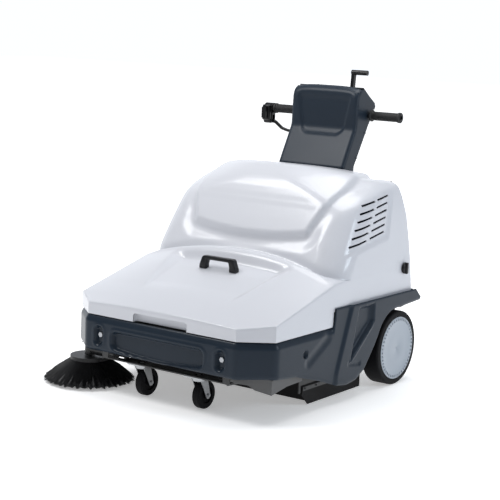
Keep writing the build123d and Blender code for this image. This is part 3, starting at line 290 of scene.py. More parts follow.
floor_white = finish("studio_floor_white", (0.93, 0.93, 0.93), 0.8, variation=0.01, grain=20.0, cloud=1.0,
                     bump=0.0, specular=0.1)
# Painted glow: the floor emits light, from 0.22 in front of the machine to 0.85 far behind it, so the far floor shows
# white and the machine is lit a little from below.
floor_tree = floor_white.node_tree
floor_place = floor_tree.nodes.new("ShaderNodeTexCoord")
floor_reach = floor_tree.nodes.new("ShaderNodeVectorMath")
floor_reach.operation = "DOT_PRODUCT"
floor_reach.inputs[1].default_value = (-0.575, 0.818, 0.0)
floor_glow = floor_tree.nodes.new("ShaderNodeMapRange")
for socket, value in (("From Min", -1.2), ("From Max", 3.0), ("To Min", 0.22), ("To Max", 0.85)):
    floor_glow.inputs[socket].default_value = value
floor_tree.links.new(floor_place.outputs["Object"], floor_reach.inputs[0])
floor_tree.links.new(floor_reach.outputs["Value"], floor_glow.inputs["Value"])
floor_shader = floor_tree.nodes["Principled BSDF"]
floor_shader.inputs["Emission Color"].default_value = (1.0, 1.0, 1.0, 1.0)
floor_tree.links.new(floor_glow.outputs["Result"], floor_shader.inputs["Emission Strength"])
floor_mesh.materials.append(floor_white)
print(len(bpy.data.materials), "finishes")

# %% [markdown]
# The CAD pieces that keep their own shape only need a finish.

# %% Finishes on the CAD pieces
cad_finish = {
    black_steel: ("chassis_frame", "neck_frame", "handlebar", "battery_tray", "drive_unit", "brush_motor",
                  "side_brush_arm", "side_brush_motor", "lever_pivot", "fan_housing", "flap_strips"),
    grey_steel: ("front_crossmember", "hopper"),
    zinc: ("console_screws", "bearings", "caster_plates", "hinge_brackets", "hinge_leaves",
           "caster_fork_right", "caster_fork_left", "hopper_handle", "main_brush_pulley", "motor_pulley", "key"),
    bright_bolt: ("skirt_bolts",),
    black_plastic: ("control_panel", "battery_gauge", "filter_housing", "charge_inlet", "main_brush_core",
                    "side_brush_disc", "bonnet_lock_right", "bonnet_lock_left", "lever_housing", "hand_lever"),
    flap_rubber: ("side_flaps", "end_flaps", "drive_belt"),
    black_rubber: ("tyre_right", "tyre_left", "caster_wheel_right", "caster_wheel_left"),
    grip_rubber: ("hand_grips",),
    cap_grey: ("rim_right", "rim_left", "hubcap_right", "hubcap_left"),
    bristle_nylon: ("main_brush_bristles", "side_brush_bristles"),
    paper: ("filter_cartridge",),
    battery_case: ("batteries",),
    yellow: ("lock_button",),
    green: ("start_button",),
    gloss_black: ("lift_lever", "bonnet_handle"),
    white_gloss: ("bonnet",),
    slate: ("lower_skirt",),
    console_slate: ("console_front_shell", "console_rear_shell", "rear_cover"),
}
for material, names in cad_finish.items():
    for name in names:
        slots = nodes[name].material_slots
        if len(slots) == 0:
            nodes[name].data.materials.append(material)
        for entry in slots:
            entry.material = material
print(sum(len(names) for names in cad_finish.values()), "CAD pieces finished")

# %% [markdown]
# ## Helpers for the pieces
#
# Each new piece is a bmesh that becomes one object at the origin. `piece` sets its finish, its
# body and the CAD node it stands for.

# %% Helpers
def smooth(low, high, value):
    """Zero below low, one above high, and an easy curve between."""
    t = np.clip((value - low) / (high - low), 0.0, 1.0)
    return t * t * (3.0 - 2.0 * t)


def piece(name, bm, material, body, stands_for=(), shade=True, angle=None):
    """One finished object from a bmesh given in drawing coordinates."""
    mesh = bpy.data.meshes.new(name)
    bm.to_mesh(mesh)
    bm.free()
    mesh.transform(Matrix.Translation(shift))
    mesh.materials.append(material)
    obj = bpy.data.objects.new(name, mesh)
    bpy.context.scene.collection.objects.link(obj)
    if shade:
        mesh.shade_smooth()
        if angle:
            mesh.set_sharp_from_angle(angle=math.radians(angle))
    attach(obj, body)
    if stands_for:
        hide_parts(*stands_for)
    return obj


def settle(obj):
    """Applies an object's modifiers to its mesh."""
    graph = bpy.context.evaluated_depsgraph_get()
    made = bpy.data.meshes.new_from_object(obj.evaluated_get(graph), depsgraph=graph)
    obj.modifiers.clear()
    old = obj.data
    obj.data = made
    made.name = old.name + "_settled"


def carve(obj, cutters):
    """Cuts each cutter bmesh, given in drawing coordinates, out of an object."""
    helpers = []
    for i, bm in enumerate(cutters):
        mesh = bpy.data.meshes.new(f"cutter_{i}")
        bm.to_mesh(mesh)
        bm.free()
        mesh.transform(Matrix.Translation(shift))
        helper = bpy.data.objects.new(f"cutter_{i}", mesh)
        bpy.context.scene.collection.objects.link(helper)
        cut = obj.modifiers.new("cut", "BOOLEAN")
        cut.operation = "DIFFERENCE"
        cut.solver = "EXACT"
        cut.object = helper
        helpers.append(helper)
    settle(obj)
    for helper in helpers:
        bpy.data.objects.remove(helper)


def shell(obj, thick):
    """Gives an open skin its wall, inwards."""
    wall = obj.modifiers.new("wall", "SOLIDIFY")
    wall.thickness = thick
    wall.offset = -1.0
    wall.use_even_offset = True
    settle(obj)


def box_mesh(low, high, bevel=0.0, segments=3):
    """A box between two corners with its edges rounded."""
    bm = bmesh.new()
    bmesh.ops.create_cube(bm, size=1.0)
    low, high = Vector(low), Vector(high)
    size = high - low
    bmesh.ops.scale(bm, vec=size, verts=bm.verts)
    bmesh.ops.translate(bm, vec=(low + high) / 2, verts=bm.verts)
    if bevel:
        bmesh.ops.bevel(bm, geom=list(bm.edges), offset=bevel, affect="EDGES", segments=segments, profile=0.5,
                        material=-1, clamp_overlap=True)
    return bm


def merged(*parts):
    """One bmesh from several."""
    whole = bmesh.new()
    for bm in parts:
        mesh = bpy.data.meshes.new("joining")
        bm.to_mesh(mesh)
        bm.free()
        whole.from_mesh(mesh)
        bpy.data.meshes.remove(mesh)
    return whole


def turned(profile, axis, centre, steps=64):
    """A lathe shape: (along, radius) points spun about an axis through a centre."""
    bm = bmesh.new()
    closed = profile[0] == profile[-1]
    verts = [bm.verts.new((radius, 0.0, place)) for place, radius in (profile[:-1] if closed else profile)]
    edges = [bm.edges.new(pair) for pair in zip(verts, verts[1:] + verts[:1] * closed)]
    bmesh.ops.spin(bm, geom=verts + edges, cent=(0, 0, 0), axis=(0, 0, 1), angle=math.tau, steps=steps,
                   use_merge=True, use_duplicate=False)
    bmesh.ops.remove_doubles(bm, verts=bm.verts, dist=1e-6)
    bmesh.ops.recalc_face_normals(bm, faces=bm.faces)
    turn = Vector((0, 0, 1)).rotation_difference(Vector(axis)).to_matrix()
    bmesh.ops.rotate(bm, cent=(0, 0, 0), matrix=turn, verts=bm.verts)
    bmesh.ops.translate(bm, vec=Vector(centre), verts=bm.verts)
    return bm


print("helpers ready")

# %% [markdown]
# ## The bonnet
#
# The real bonnet is one large moulding: a sloping front with a shallow pan for the handle, and a
# rounded hood behind an arched groove. It could be sculpted, but its shape is better held by a few
# drawn curves. A flat grid is made, and every row of it is laid on the bonnet's cross section at
# that place along the machine.

# %% Curves of the sloping front
front_y = drawn("bonnet")[0].y
bonnet_half = 0.432
arch_y = -0.118


def along(y, *pairs):
    """Reads a drawn curve, given as place and value pairs."""
    places, values = zip(*pairs)
    return np.interp(y, places, values)


def plan_half(y):
    """Half width of the bonnet: narrow at the nose, full behind the cut corners."""
    return along(y, (front_y, 0.3275), (-0.479, bonnet_half), (0.5, bonnet_half))


def edge_high(y):
    """Height of the crease along the bonnet's side."""
    return along(y, (front_y, 0.327), (-0.479, 0.341), (-0.30, 0.388), (arch_y, 0.437), (0.05, 0.446), (0.5, 0.446))


def crown_high(y):
    """Height of the sloping front in the middle plane, pan left out."""
    return along(y, (front_y, 0.335), (-0.479, 0.366), (-0.41, 0.392), (-0.229, 0.468), (-0.16, 0.494),
                 (arch_y, 0.509), (-0.06, 0.520))


def front_surface(x, y):
    """The sloping front with its pan."""
    edge, crown = edge_high(y), crown_high(y)
    across = np.abs(x) / plan_half(y)
    deck = edge + (crown - edge) * (1.0 - across ** 2.3)
    pan = along(y, (-0.48, 0.366), (-0.41, 0.389), (-0.229, 0.4465), (-0.16, 0.462), (-0.10, 0.480))
    pan = pan - 0.25 * x * x
    inner = along(y, (-0.42, 0.188), (-0.17, 0.205))
    outer = along(y, (-0.42, 0.202), (-0.17, 0.275))
    inside = (1.0 - smooth(inner, outer, np.abs(x))) * (1.0 - smooth(-0.166, -0.140, y)) * smooth(-0.44, -0.36, y)
    return deck - np.maximum(deck - pan, 0.0) * inside


print("front crown rises to", round(float(crown_high(arch_y)), 3), "m at the arch")

# %% [markdown]
# The hood is drawn as level outlines: at each height a half width, the place of its front and the
# radius of its corners. A section across the machine reads those outlines the other way round.

# %% Curves of the hood
levels = np.array([0.330, 0.474, 0.560, 0.660, 0.690, 0.710, 0.730, 0.750, 0.765, 0.785, 0.800, 0.808, 0.816])
level_half = np.array([0.432, 0.4312, 0.4270, 0.4185, 0.4150, 0.4125, 0.4090, 0.4040, 0.3960, 0.3720, 0.3450, 0.3000,
                       0.2500])
level_front = np.array([-0.122, -0.108, -0.062, -0.008, 0.008, 0.018, 0.028, 0.040, 0.050, 0.068, 0.084, 0.105,
                        0.125])
level_corner = np.array([0.095, 0.109, 0.118, 0.136, 0.150, 0.185, 0.235, 0.290, 0.330, 0.345, 0.330, 0.290, 0.240])
roof_high, roof_fall, roof_crown = 0.8135, 0.11, 0.15
heights = np.linspace(levels[0], levels[-1], 500)


def eased(values):
    """A level curve read at every height, with its corners smoothed over."""
    reach = 40
    read = np.interp(heights, levels, values)
    padded = np.concatenate([np.full(reach, read[0]), read, np.full(reach, read[-1])])
    weights = np.hanning(2 * reach + 1)
    return np.convolve(padded, weights / weights.sum(), mode="valid")


height_half, height_front, height_corner = eased(level_half), eased(level_front), eased(level_corner)


def hood_surface(x, y):
    """Height of the hood over a row of places across, at one place along."""
    if y <= height_front[0]:
        return np.zeros_like(x)
    behind = y - height_front
    bite = np.clip(height_corner - behind, 0.0, height_corner)
    reach = height_half - height_corner + np.sqrt(np.maximum(height_corner ** 2 - bite ** 2, 0.0))
    reach = np.where(behind < 0.0, -1.0, reach)
    covered = np.abs(x)[:, None] <= reach[None, :]
    top = np.where(covered, heights[None, :], 0.0).max(axis=1)
    roof = roof_high - roof_fall * max(0.0, y - 0.13) - roof_crown * x * x
    near = np.maximum(0.014 - np.abs(top - roof), 0.0) / 0.014
    return np.minimum(top, roof) - 0.0035 * near * near * (top > 0.1)


def section(y, count=701):
    """Points across the bonnet at one place along, from the left crease to the right."""
    half = float(plan_half(y))
    x = half * np.sin(np.linspace(-math.pi / 2, math.pi / 2, count))
    front = front_surface(x, y) if y < -0.02 else np.full_like(x, float(edge_high(y)))
    hood = hood_surface(x, y)
    blend = 0.010
    both = 0.5 * (front + hood + np.sqrt((front - hood) ** 2 + blend ** 2)) - 0.5 * blend * (hood > 0.1)
    z = np.where(hood > 0.1, both, front)
    groove = np.exp(-((hood - front - 0.004) / 0.013) ** 2) * (hood > 0.1)
    ridge = math.exp(-((y - arch_y + 0.014) / 0.011) ** 2)
    near_middle = 1.0 - smooth(0.36, 0.425, np.abs(x))
    z = z + (0.0050 * ridge - 0.0105 * groove) * near_middle
    return x, np.maximum(z, edge_high(y))


print("hood drawn by", len(levels), "levels")

# %% [markdown]
# The grid's rows crowd together where the shape turns quickly, and its columns follow the length of
# each section, so no face is stretched.

# %% Lay the grid on the sections
rim_steps = [0.0, 0.0007, 0.0018, 0.0034, 0.0055, 0.0085]
rows = [front_y + step for step in rim_steps]
rows += list(np.arange(front_y + 0.016, -0.180, 0.0085))
rows += list(np.arange(-0.177, -0.136, 0.0042)) + list(np.arange(-0.134, -0.080, 0.0021))
rows += list(np.arange(-0.079, 0.100, 0.0042))
rows += list(np.arange(0.102, 0.452, 0.0085))
rows = sorted(rows + [-0.1236, -0.1226])
columns = 170
rim_round = 0.0055


def edge_spacing(length, count):
    """Places from 0 to length that crowd at both ends."""
    steps = np.array(rim_steps)
    middle_part = np.linspace(0.013, length - 0.013, count - 2 * len(steps))
    return np.concatenate([steps, middle_part, length - steps[::-1]])


def lay_bonnet():
    """The bonnet's outer skin as a grid, before its details."""
    bm = bmesh.new()
    bmesh.ops.create_grid(bm, x_segments=columns - 1, y_segments=len(rows) - 1, size=1.0)
    laid = {}
    for j, y in enumerate(rows):
        x, z = section(y)
        run = np.concatenate([[0.0], np.cumsum(np.hypot(np.diff(x), np.diff(z)))])
        places = edge_spacing(run[-1], columns)
        px, pz = np.interp(places, run, x), np.interp(places, run, z)
        crease = 1.0 - smooth(arch_y - 0.03, 0.06, y)
        side_gap = np.minimum(places, run[-1] - places)
        gap = np.minimum(side_gap / max(crease, 1e-3), y - front_y)
        inside = np.clip(rim_round - gap, 0.0, rim_round)
        pz = pz - (rim_round - np.sqrt(rim_round ** 2 - inside ** 2))
        laid[j] = (px, pz)
    for vert in bm.verts:
        i = round((vert.co.x + 1.0) / 2.0 * (columns - 1))
        j = round((vert.co.y + 1.0) / 2.0 * (len(rows) - 1))
        vert.co = (laid[j][0][i], rows[j], laid[j][1][i])
    bm.normal_update()
    return bm


bonnet_bm = lay_bonnet()
print("bonnet grid", len(bonnet_bm.verts), "points")

# %% [markdown]
# Two details stand on the hood: a raised panel over its middle, set off by a soft valley in the
# shape of a U, and a sunken field on each side that carries the vents.

# %% Raised panel, valley and vent fields
vent_field = [(-0.040, 0.520), (0.246, 0.567), (0.292, 0.757), (0.080, 0.722)]
vent_soft = [0.012, 0.012, 0.05, 0.05]


def panel_relief(x, y, z):
    """How far the hood stands out for its panel and valley."""
    across = abs(x)
    low_edge = 0.574 + 0.36 * across * across
    aside = max(across - float(along(z, (0.60, 0.246), (0.70, 0.288), (0.745, 0.300), (0.79, 0.290)))
                + 0.030 * float(smooth(0.16, 0.33, y)), 0.0)
    below = max(low_edge - z, 0.0)
    away = math.hypot(aside, below)
    raised = 0.0095 * (1.0 - float(smooth(0.0, 0.020, away)))
    valley = -0.0060 * float(smooth(0.002, 0.024, away)) * (1.0 - float(smooth(0.030, 0.085, away)))
    return (raised + valley) * float(smooth(0.50, 0.535, z))


def field_depth(y, z):
    """How far the side is pressed in for the vents, 0 to 1."""
    inside, rim = 1.0, 0.0
    count = len(vent_field)
    for k in range(count):
        (y0, z0), (y1, z1) = vent_field[k], vent_field[(k + 1) % count]
        run = math.hypot(y1 - y0, z1 - z0)
        off = ((y1 - y0) * (z - z0) - (z1 - z0) * (y - y0)) / run
        inside = min(inside, float(smooth(-0.2 * vent_soft[k], 0.8 * vent_soft[k], off)))
    return inside


low_y_line = (0.285 - 0.246) / (0.757 - 0.567)
for vert in bonnet_bm.verts:
    x, y, z = vert.co
    if y < -0.12 or z < 0.5:
        continue
    out = panel_relief(x, y, z) if abs(vert.normal.x) < 0.90 else 0.0
    if abs(x) > 0.33:
        out -= 0.0065 * field_depth(y, z) * float(smooth(0.55, 0.85, abs(vert.normal.x)))
    vert.co += vert.normal * out
print("panel, valley and vent fields formed")

# %% [markdown]
# The crease is the grid's edge. From it the walls drop to the skirt: short ones round the sloping
# front, longer ones behind the step. Two planes trim the back, where the bonnet is open.

# %% Walls, trim and thickness
front_wall_low = drawn("bonnet")[0].z
rear_wall_low = front_wall_low + 0.054


def wall_low(y):
    return front_wall_low if y < -0.1231 else rear_wall_low


edge_now = [e for e in bonnet_bm.edges if e.is_boundary and min(v.co.y for v in e.verts) < rows[-1] - 1e-4]
for drop in (0.06, 0.35, 0.75, 1.0):
    made = bmesh.ops.extrude_edge_only(bonnet_bm, edges=edge_now)["geom"]
    new_verts = [g for g in made if isinstance(g, bmesh.types.BMVert)]
    edge_now = [g for g in made if isinstance(g, bmesh.types.BMEdge) and g.is_boundary
                and all(v in new_verts for v in g.verts)]
    for vert in new_verts:
        y = vert.co.y
        top = max(float(edge_high(y)) - rim_round, wall_low(y) + 0.01)
        vert.co.z = top + (wall_low(y) - top) * drop
bmesh.ops.remove_doubles(bonnet_bm, verts=bonnet_bm.verts, dist=1e-5)
for (y0, z0), (y1, z1) in (((0.338, 0.764), (0.383, 0.640)), ((0.383, 0.640), (0.431, 0.351))):
    normal = Vector((0.0, z0 - z1, y1 - y0)).normalized()
    bmesh.ops.bisect_plane(bonnet_bm, geom=list(bonnet_bm.verts) + list(bonnet_bm.edges) + list(bonnet_bm.faces),
                           plane_co=(0.0, y0, z0), plane_no=normal, clear_outer=True)
bmesh.ops.recalc_face_normals(bonnet_bm, faces=bonnet_bm.faces)
centre_face = max(bonnet_bm.faces, key=lambda f: f.calc_center_median().z)
if centre_face.normal.z < 0:
    bmesh.ops.reverse_faces(bonnet_bm, faces=bonnet_bm.faces)
bonnet = piece("bonnet_moulding", bonnet_bm, white_gloss, "bonnet_body", ("bonnet",))
shell(bonnet, 0.004)
print("bonnet", len(bonnet.data.polygons), "faces")

# %% [markdown]
# Twelve slots in each side let the warm air out, and a long recess in the nose takes the fingers.
# Both are cut with solids, as a router would.

# %% Vents and finger recess
corner_low = [(-0.005, 0.552), (0.224, 0.591)]
corner_high = [(0.099, 0.692), (0.265, 0.722)]
slot_rows = 6


def slot_cutters(side):
    """The rounded bars that cut the slots of one side."""
    bars = []
    for row in range(slot_rows):
        t = row / (slot_rows - 1)
        a = Vector(corner_low[0]).lerp(Vector(corner_high[0]), t)
        b = Vector(corner_low[1]).lerp(Vector(corner_high[1]), t)
        lean = math.atan2(b.y - a.y, b.x - a.x)
        for start, end in ((0.0, 0.45), (0.55, 1.0)):
            mid = a.lerp(b, (start + end) / 2)
            half = (b - a).length * (end - start) / 2
            bm = box_mesh((-0.05, -half, -0.0038), (0.05, half, 0.0038))
            bmesh.ops.rotate(bm, cent=(0, 0, 0), matrix=Matrix.Rotation(lean, 3, "X"), verts=bm.verts)
            bmesh.ops.translate(bm, vec=(side * 0.41, mid.x, mid.y), verts=bm.verts)
            bars.append(bm)
    return merged(*bars)


recess_half, recess_low, recess_high = 0.119, front_wall_low - 0.002, front_wall_low + 0.031
recess = box_mesh((-recess_half, front_y - 0.02, recess_low - 0.02), (recess_half, front_y + 0.012, recess_high),
                  bevel=0.009, segments=4)
carve(bonnet, [slot_cutters(1), slot_cutters(-1), recess])
bonnet.data.shade_smooth()
bonnet.data.set_sharp_from_angle(angle=math.radians(38))
cup = box_mesh((-recess_half - 0.004, front_y + 0.0015, front_wall_low), (recess_half + 0.004, front_y + 0.026, recess_high + 0.006),
               bevel=0.004)
cup_cut = box_mesh((-recess_half, front_y - 0.02, recess_low - 0.02), (recess_half, front_y + 0.0225, recess_high),
                   bevel=0.009, segments=4)
finger_cup = piece("bonnet_finger_recess", cup, white_gloss, "bonnet_body", (), angle=40)
carve(finger_cup, [cup_cut])
finger_cup.data.shade_smooth()
finger_cup.data.set_sharp_from_angle(angle=math.radians(40))
print("slots and finger recess cut,", len(bonnet.data.polygons), "faces")

# %% [markdown]
# ## The skirt
#
# The dark lower moulding runs round the machine from tail to tail. A grid is laid along its plan
# outline, with rounded corners, and each column reaches from the skirt's lower edge to its upper one.
# Relief is added along the outline's own normal: the long recess and the bolt dishes in the bumper,
# and the fender behind the step.

# %% Outline of the skirt
def rounded_path(points, radius, step):
    """Evenly spaced points on an open outline whose corners are rounded."""
    path = [Vector(points[0])]
    for before, corner, after in zip(points, points[1:], points[2:]):
        corner = Vector(corner)
        back, ahead = (Vector(before) - corner).normalized(), (Vector(after) - corner).normalized()
        angle = back.angle(ahead)
        trim = radius / math.tan(angle / 2)
        start, end = corner + back * trim, corner + ahead * trim
        for k in range(13):
            t = k / 12
            path.append(start.lerp(corner, t).lerp(corner.lerp(end, t), t))
    path.append(Vector(points[-1]))
    flat = np.array([(p.x, p.y) for p in path])
    run = np.concatenate([[0.0], np.cumsum(np.hypot(*np.diff(flat, axis=0).T))])
    places = np.linspace(0.0, run[-1], int(run[-1] / step) + 1)
    return np.stack([np.interp(places, run, flat[:, 0]), np.interp(places, run, flat[:, 1])], axis=1)


skirt_tail = tail_y
outline = [(-half_body, skirt_tail), (-half_body, -0.479), (-0.3325, bumper_y), (0.3325, bumper_y),
           (half_body, -0.479), (half_body, skirt_tail)]
path = rounded_path(outline, 0.038, 0.0052)
tangent = np.gradient(path, axis=0)
tangent /= np.hypot(tangent[:, 0], tangent[:, 1])[:, None]
normals = np.stack([tangent[:, 1], -tangent[:, 0]], axis=1)
if normals[len(normals) // 2][1] > 0:
    normals = -normals
print("skirt outline of", len(path), "points")


def skirt_low_at(y):
    """Lower edge of the skirt: bumper, lobe, wheel arch and tail."""
    wheel_y, radius = 0.312, 0.1545
    arch = 0.1415 + math.sqrt(max(radius ** 2 - (y - wheel_y) ** 2, 0.0)) if abs(y - wheel_y) < radius else 0.0
    drawn_edge = float(along(y, (-0.571, 0.156), (-0.499, 0.158), (-0.352, 0.145), (-0.20, 0.103), (-0.099, 0.069),
                             (-0.035, 0.060), (0.03, 0.068), (0.082, 0.094), (0.148, 0.172), (0.196, 0.240),
                             (0.268, 0.285), (0.372, 0.298), (0.482, 0.304)))
    return max(drawn_edge, arch if y > 0.16 else 0.0)


def skirt_high_at(y):
    """Upper edge: low round the bumper, higher behind the step, rounded at the tail."""
    step = 0.281 + 0.0705 * float(smooth(-0.1235, -0.1195, y))
    return min(step, 0.3515 - 0.9 * max(0.0, y - 0.447))


# %% Relief of the skirt
def rounded_box_distance(x, z, centre, half, radius):
    """Distance outside a rounded rectangle, negative inside."""
    dx = abs(x - centre[0]) - (half[0] - radius)
    dz = abs(z - centre[1]) - (half[1] - radius)
    return math.hypot(max(dx, 0.0), max(dz, 0.0)) + min(max(dx, dz), 0.0) - radius


def line_off(y, z, a, b):
    """Signed distance of a side point from the line a to b."""
    run = math.hypot(b[0] - a[0], b[1] - a[1])
    return ((b[0] - a[0]) * (z - a[1]) - (b[1] - a[1]) * (y - a[0])) / run


def segment_distance(y, z, a, b):
    """Distance of a side point from the segment a to b."""
    ay, az = b[0] - a[0], b[1] - a[1]
    t = min(1.0, max(0.0, ((y - a[0]) * ay + (z - a[1]) * az) / (ay * ay + az * az)))
    return math.hypot(y - a[0] - ay * t, z - a[1] - az * t)


bolt_spot = 0.270


def bumper_relief(x, z):
    """The long recess and the two bolt dishes."""
    belly = 0.016 * (1.0 - (x / 0.21) ** 2) * (1.0 - float(smooth(0.19, 0.22, z)))
    off = rounded_box_distance(x, z + belly, (-0.006, 0.2045), (0.205, 0.0325), 0.020)
    out = -0.017 * (1.0 - float(smooth(-0.009, 0.001, off)))
    lip = math.exp(-((off - 0.006) / 0.006) ** 2)
    out += 0.0022 * lip
    for side in (-1, 1):
        off = rounded_box_distance(x, z, (side * bolt_spot, 0.211), (0.0185, 0.036), 0.018)
        out -= 0.0150 * (1.0 - float(smooth(-0.008, 0.002, off)))
        out += 0.0020 * math.exp(-((off - 0.006) / 0.005) ** 2)
    return out


def fender_relief(y, z):
    """Side of the skirt: soft panel ahead of the step, raised fender and its pocket behind."""
    out = 0.0
    front_line = line_off(y, z, (-0.110, 0.094), (-0.015, 0.351))
    out += 0.0085 * float(smooth(-0.012, 0.004, -front_line)) * float(smooth(-0.12, -0.10, y))
    pocket = min(line_off(y, z, (-0.022, 0.143), (0.128, 0.262)), -line_off(y, z, (-0.022, 0.143), (0.028, 0.335)),
                 0.336 - z + 0.10 * max(0.0, y - 0.09), 0.137 - y)
    out -= 0.0150 * float(smooth(0.0, 0.012, pocket))
    rib = segment_distance(y, z, (-0.024, 0.140), (0.122, 0.256))
    out += 0.0030 * (1.0 - float(smooth(0.0, 0.009, rib)))
    under = segment_distance(y, z, (-0.028, 0.137), (0.045, 0.127))
    out -= 0.005 * (1.0 - float(smooth(0.002, 0.010, under)))
    hole = math.hypot(y + 0.304, z - 0.216)
    out -= 0.013 * (1.0 - float(smooth(0.009, 0.016, hole)))
    fold = segment_distance(y, z, (-0.285, 0.185), (-0.165, 0.252))
    out -= 0.0045 * (1.0 - float(smooth(0.0, 0.030, fold)))
    return out


def skirt_point(i, t):
    """A point of the skirt's skin: column i of the outline, t from lower to upper edge."""
    x, y = path[i]
    nx, ny = normals[i]
    low, high = skirt_low_at(y), skirt_high_at(y)
    z = low + (high - low) * t
    out = 0.0
    if abs(ny) > 0.95:
        out += bumper_relief(x, z)
    if abs(nx) > 0.95:
        out += fender_relief(y, z)
    lean = float(smooth(0.258, 0.284, z)) * (1.0 - float(smooth(-0.135, -0.118, y)))
    out -= 0.0095 * lean
    bead = max(0.0, 0.006 - (high - z))
    out -= 0.0035 * (bead / 0.006) ** 2
    foot = max(0.0, 0.012 - (z - low))
    out -= 0.005 * (foot / 0.012) ** 2
    return Vector((x + nx * out, y + ny * out, z))


# %% Lay the skirt's grid
skirt_rows = [0.0, 0.012, 0.03, 0.055]
skirt_rows += list(np.linspace(0.08, 0.92, 42)) + [0.94, 0.96, 0.975, 0.988, 1.0]
skirt_bm = bmesh.new()
bmesh.ops.create_grid(skirt_bm, x_segments=len(path) - 1, y_segments=len(skirt_rows) - 1, size=1.0)
for vert in skirt_bm.verts:
    i = round((vert.co.x + 1.0) / 2.0 * (len(path) - 1))
    j = round((vert.co.y + 1.0) / 2.0 * (len(skirt_rows) - 1))
    vert.co = skirt_point(i, skirt_rows[j])
skirt_bm.normal_update()
test_face = min(skirt_bm.faces, key=lambda f: (f.calc_center_median() - Vector((0.0, bumper_y, 0.17))).length)
if test_face.normal.y > 0:
    bmesh.ops.reverse_faces(skirt_bm, faces=skirt_bm.faces)
skirt = piece("skirt_moulding", skirt_bm, slate, "chassis", ("lower_skirt",))
shell(skirt, 0.0045)
skirt.data.shade_smooth()
skirt.data.set_sharp_from_angle(angle=math.radians(50))
print("skirt", len(skirt.data.polygons), "faces")

# %% [markdown]
# The skirt is closed behind by a low wall that ties its two sides together.

# %% Rear wall of the skirt
tail_wall = box_mesh((-half_body + 0.004, tail_y - 0.045, 0.304), (half_body - 0.004, tail_y - 0.040, 0.351), 0.0015)
piece("skirt_rear_wall", tail_wall, slate, "chassis", (), angle=40)
print("skirt closed behind")

# %% [markdown]
# ## The console
#
# Its skin is a grid as well. Each row is a U seen from above: from the rear edge of one side, round the
# front and back along the other side. The rows climb the front profile and follow the crest over.

# %% Console front shell
console_rows = [((0.3475, 0.690), (0.417, 0.690)), ((0.345, 0.797), (0.424, 0.797)),
                ((0.4185, 0.936), (0.509, 0.940)), ((0.4215, 0.948), (0.514, 0.950)),
                ((0.4225, 1.000), (0.549, 1.000)), ((0.424, 1.035), (0.566, 1.026)),
                ((0.4255, 1.062), (0.560, 1.041)), ((0.429, 1.079), (0.532, 1.0585)),
                ((0.4360, 1.091), (0.500, 1.0785)), ((0.4450, 1.099), (0.478, 1.092)),
                ((0.4570, 1.1035), (0.462, 1.102))]
console_half = (drawn("console_front_shell")[1].x - drawn("console_front_shell")[0].x) / 2
console_corner = 0.013
console_steps = 84
row_count = 76


def console_pair(t):
    """Front and rear points of the side profile at a share of the way up."""
    spans = [0.0]
    for (f0, _), (f1, _) in zip(console_rows, console_rows[1:]):
        spans.append(spans[-1] + math.hypot(f1[0] - f0[0], f1[1] - f0[1]))
    place = t * spans[-1]
    read = [np.interp(place, spans, [pair[a][b] for pair in console_rows]) for a in (0, 1) for b in (0, 1)]
    return Vector((0.0, read[0], read[1])), Vector((0.0, read[2], read[3]))


def console_point(u, t):
    """A point of the console's skin: u round the U from 0 to 1, t from bottom to crest."""
    front, back = console_pair(t)
    side_run = max((back - front).length - console_corner, 0.001)
    arc = console_corner * math.pi / 2
    flat = 2 * (console_half - console_corner)
    here = abs(u - 0.5) * 2.0 * (side_run + arc + flat / 2)
    inward = (back - front).normalized() if (back - front).length > 1e-6 else Vector((0, 1, 0))
    if here <= flat / 2:
        x, deep = here, 0.0
    elif here <= flat / 2 + arc:
        angle = (here - flat / 2) / console_corner
        x = flat / 2 + console_corner * math.sin(angle)
        deep = console_corner * (1.0 - math.cos(angle))
    else:
        x, deep = console_half, console_corner + (here - flat / 2 - arc)
    point = front + inward * min(deep, (back - front).length)
    reach = x / console_half
    lift = float(smooth(1.03, 1.10, front.z))
    point.z += lift * (0.0015 - 0.012 * reach ** 4) * max(0.0, 1.0 - deep / 0.03)
    half_dish = 0.096 + 0.030 * (front.z - 0.914) / 0.156
    off = rounded_box_distance(x, front.z, (0.0, 1.014), (half_dish, 0.104), 0.034)
    if deep < 0.001:
        point.y += 0.0075 * (1.0 - float(smooth(-0.012, 0.002, off))) * (1.0 - float(smooth(1.045, 1.09, front.z)))
    point.x = math.copysign(x, u - 0.5)
    return point


console_bm = bmesh.new()
bmesh.ops.create_grid(console_bm, x_segments=console_steps - 1, y_segments=row_count - 1, size=1.0)
for vert in console_bm.verts:
    u, t = (vert.co.x + 1.0) / 2.0, (vert.co.y + 1.0) / 2.0
    vert.co = console_point(u, t)
console_bm.normal_update()
face = min(console_bm.faces, key=lambda f: (f.calc_center_median() - Vector((0.0, 0.42, 0.98))).length)
if face.normal.y > 0:
    bmesh.ops.reverse_faces(console_bm, faces=console_bm.faces)
console = piece("console_moulding", console_bm, console_slate, "chassis", ("console_front_shell",))
shell(console, 0.003)
bar_low, bar_top = drawn("handlebar")
bar_y, bar_z = (bar_low.y + bar_top.y) / 2, (bar_low.z + bar_top.z) / 2
bar_hole = turned([(-0.2, 0.0), (-0.2, 0.0115), (0.2, 0.0115), (0.2, 0.0)], (1, 0, 0), (0, bar_y, bar_z), 32)
carve(console, [bar_hole])
console.data.shade_smooth()
console.data.set_sharp_from_angle(angle=math.radians(45))
print("console", len(console.data.polygons), "faces")

# %% [markdown]
# ## Grips, levers and knobs
#
# Round parts are lathe shapes: a list of places along the axis with a radius at each, spun round.

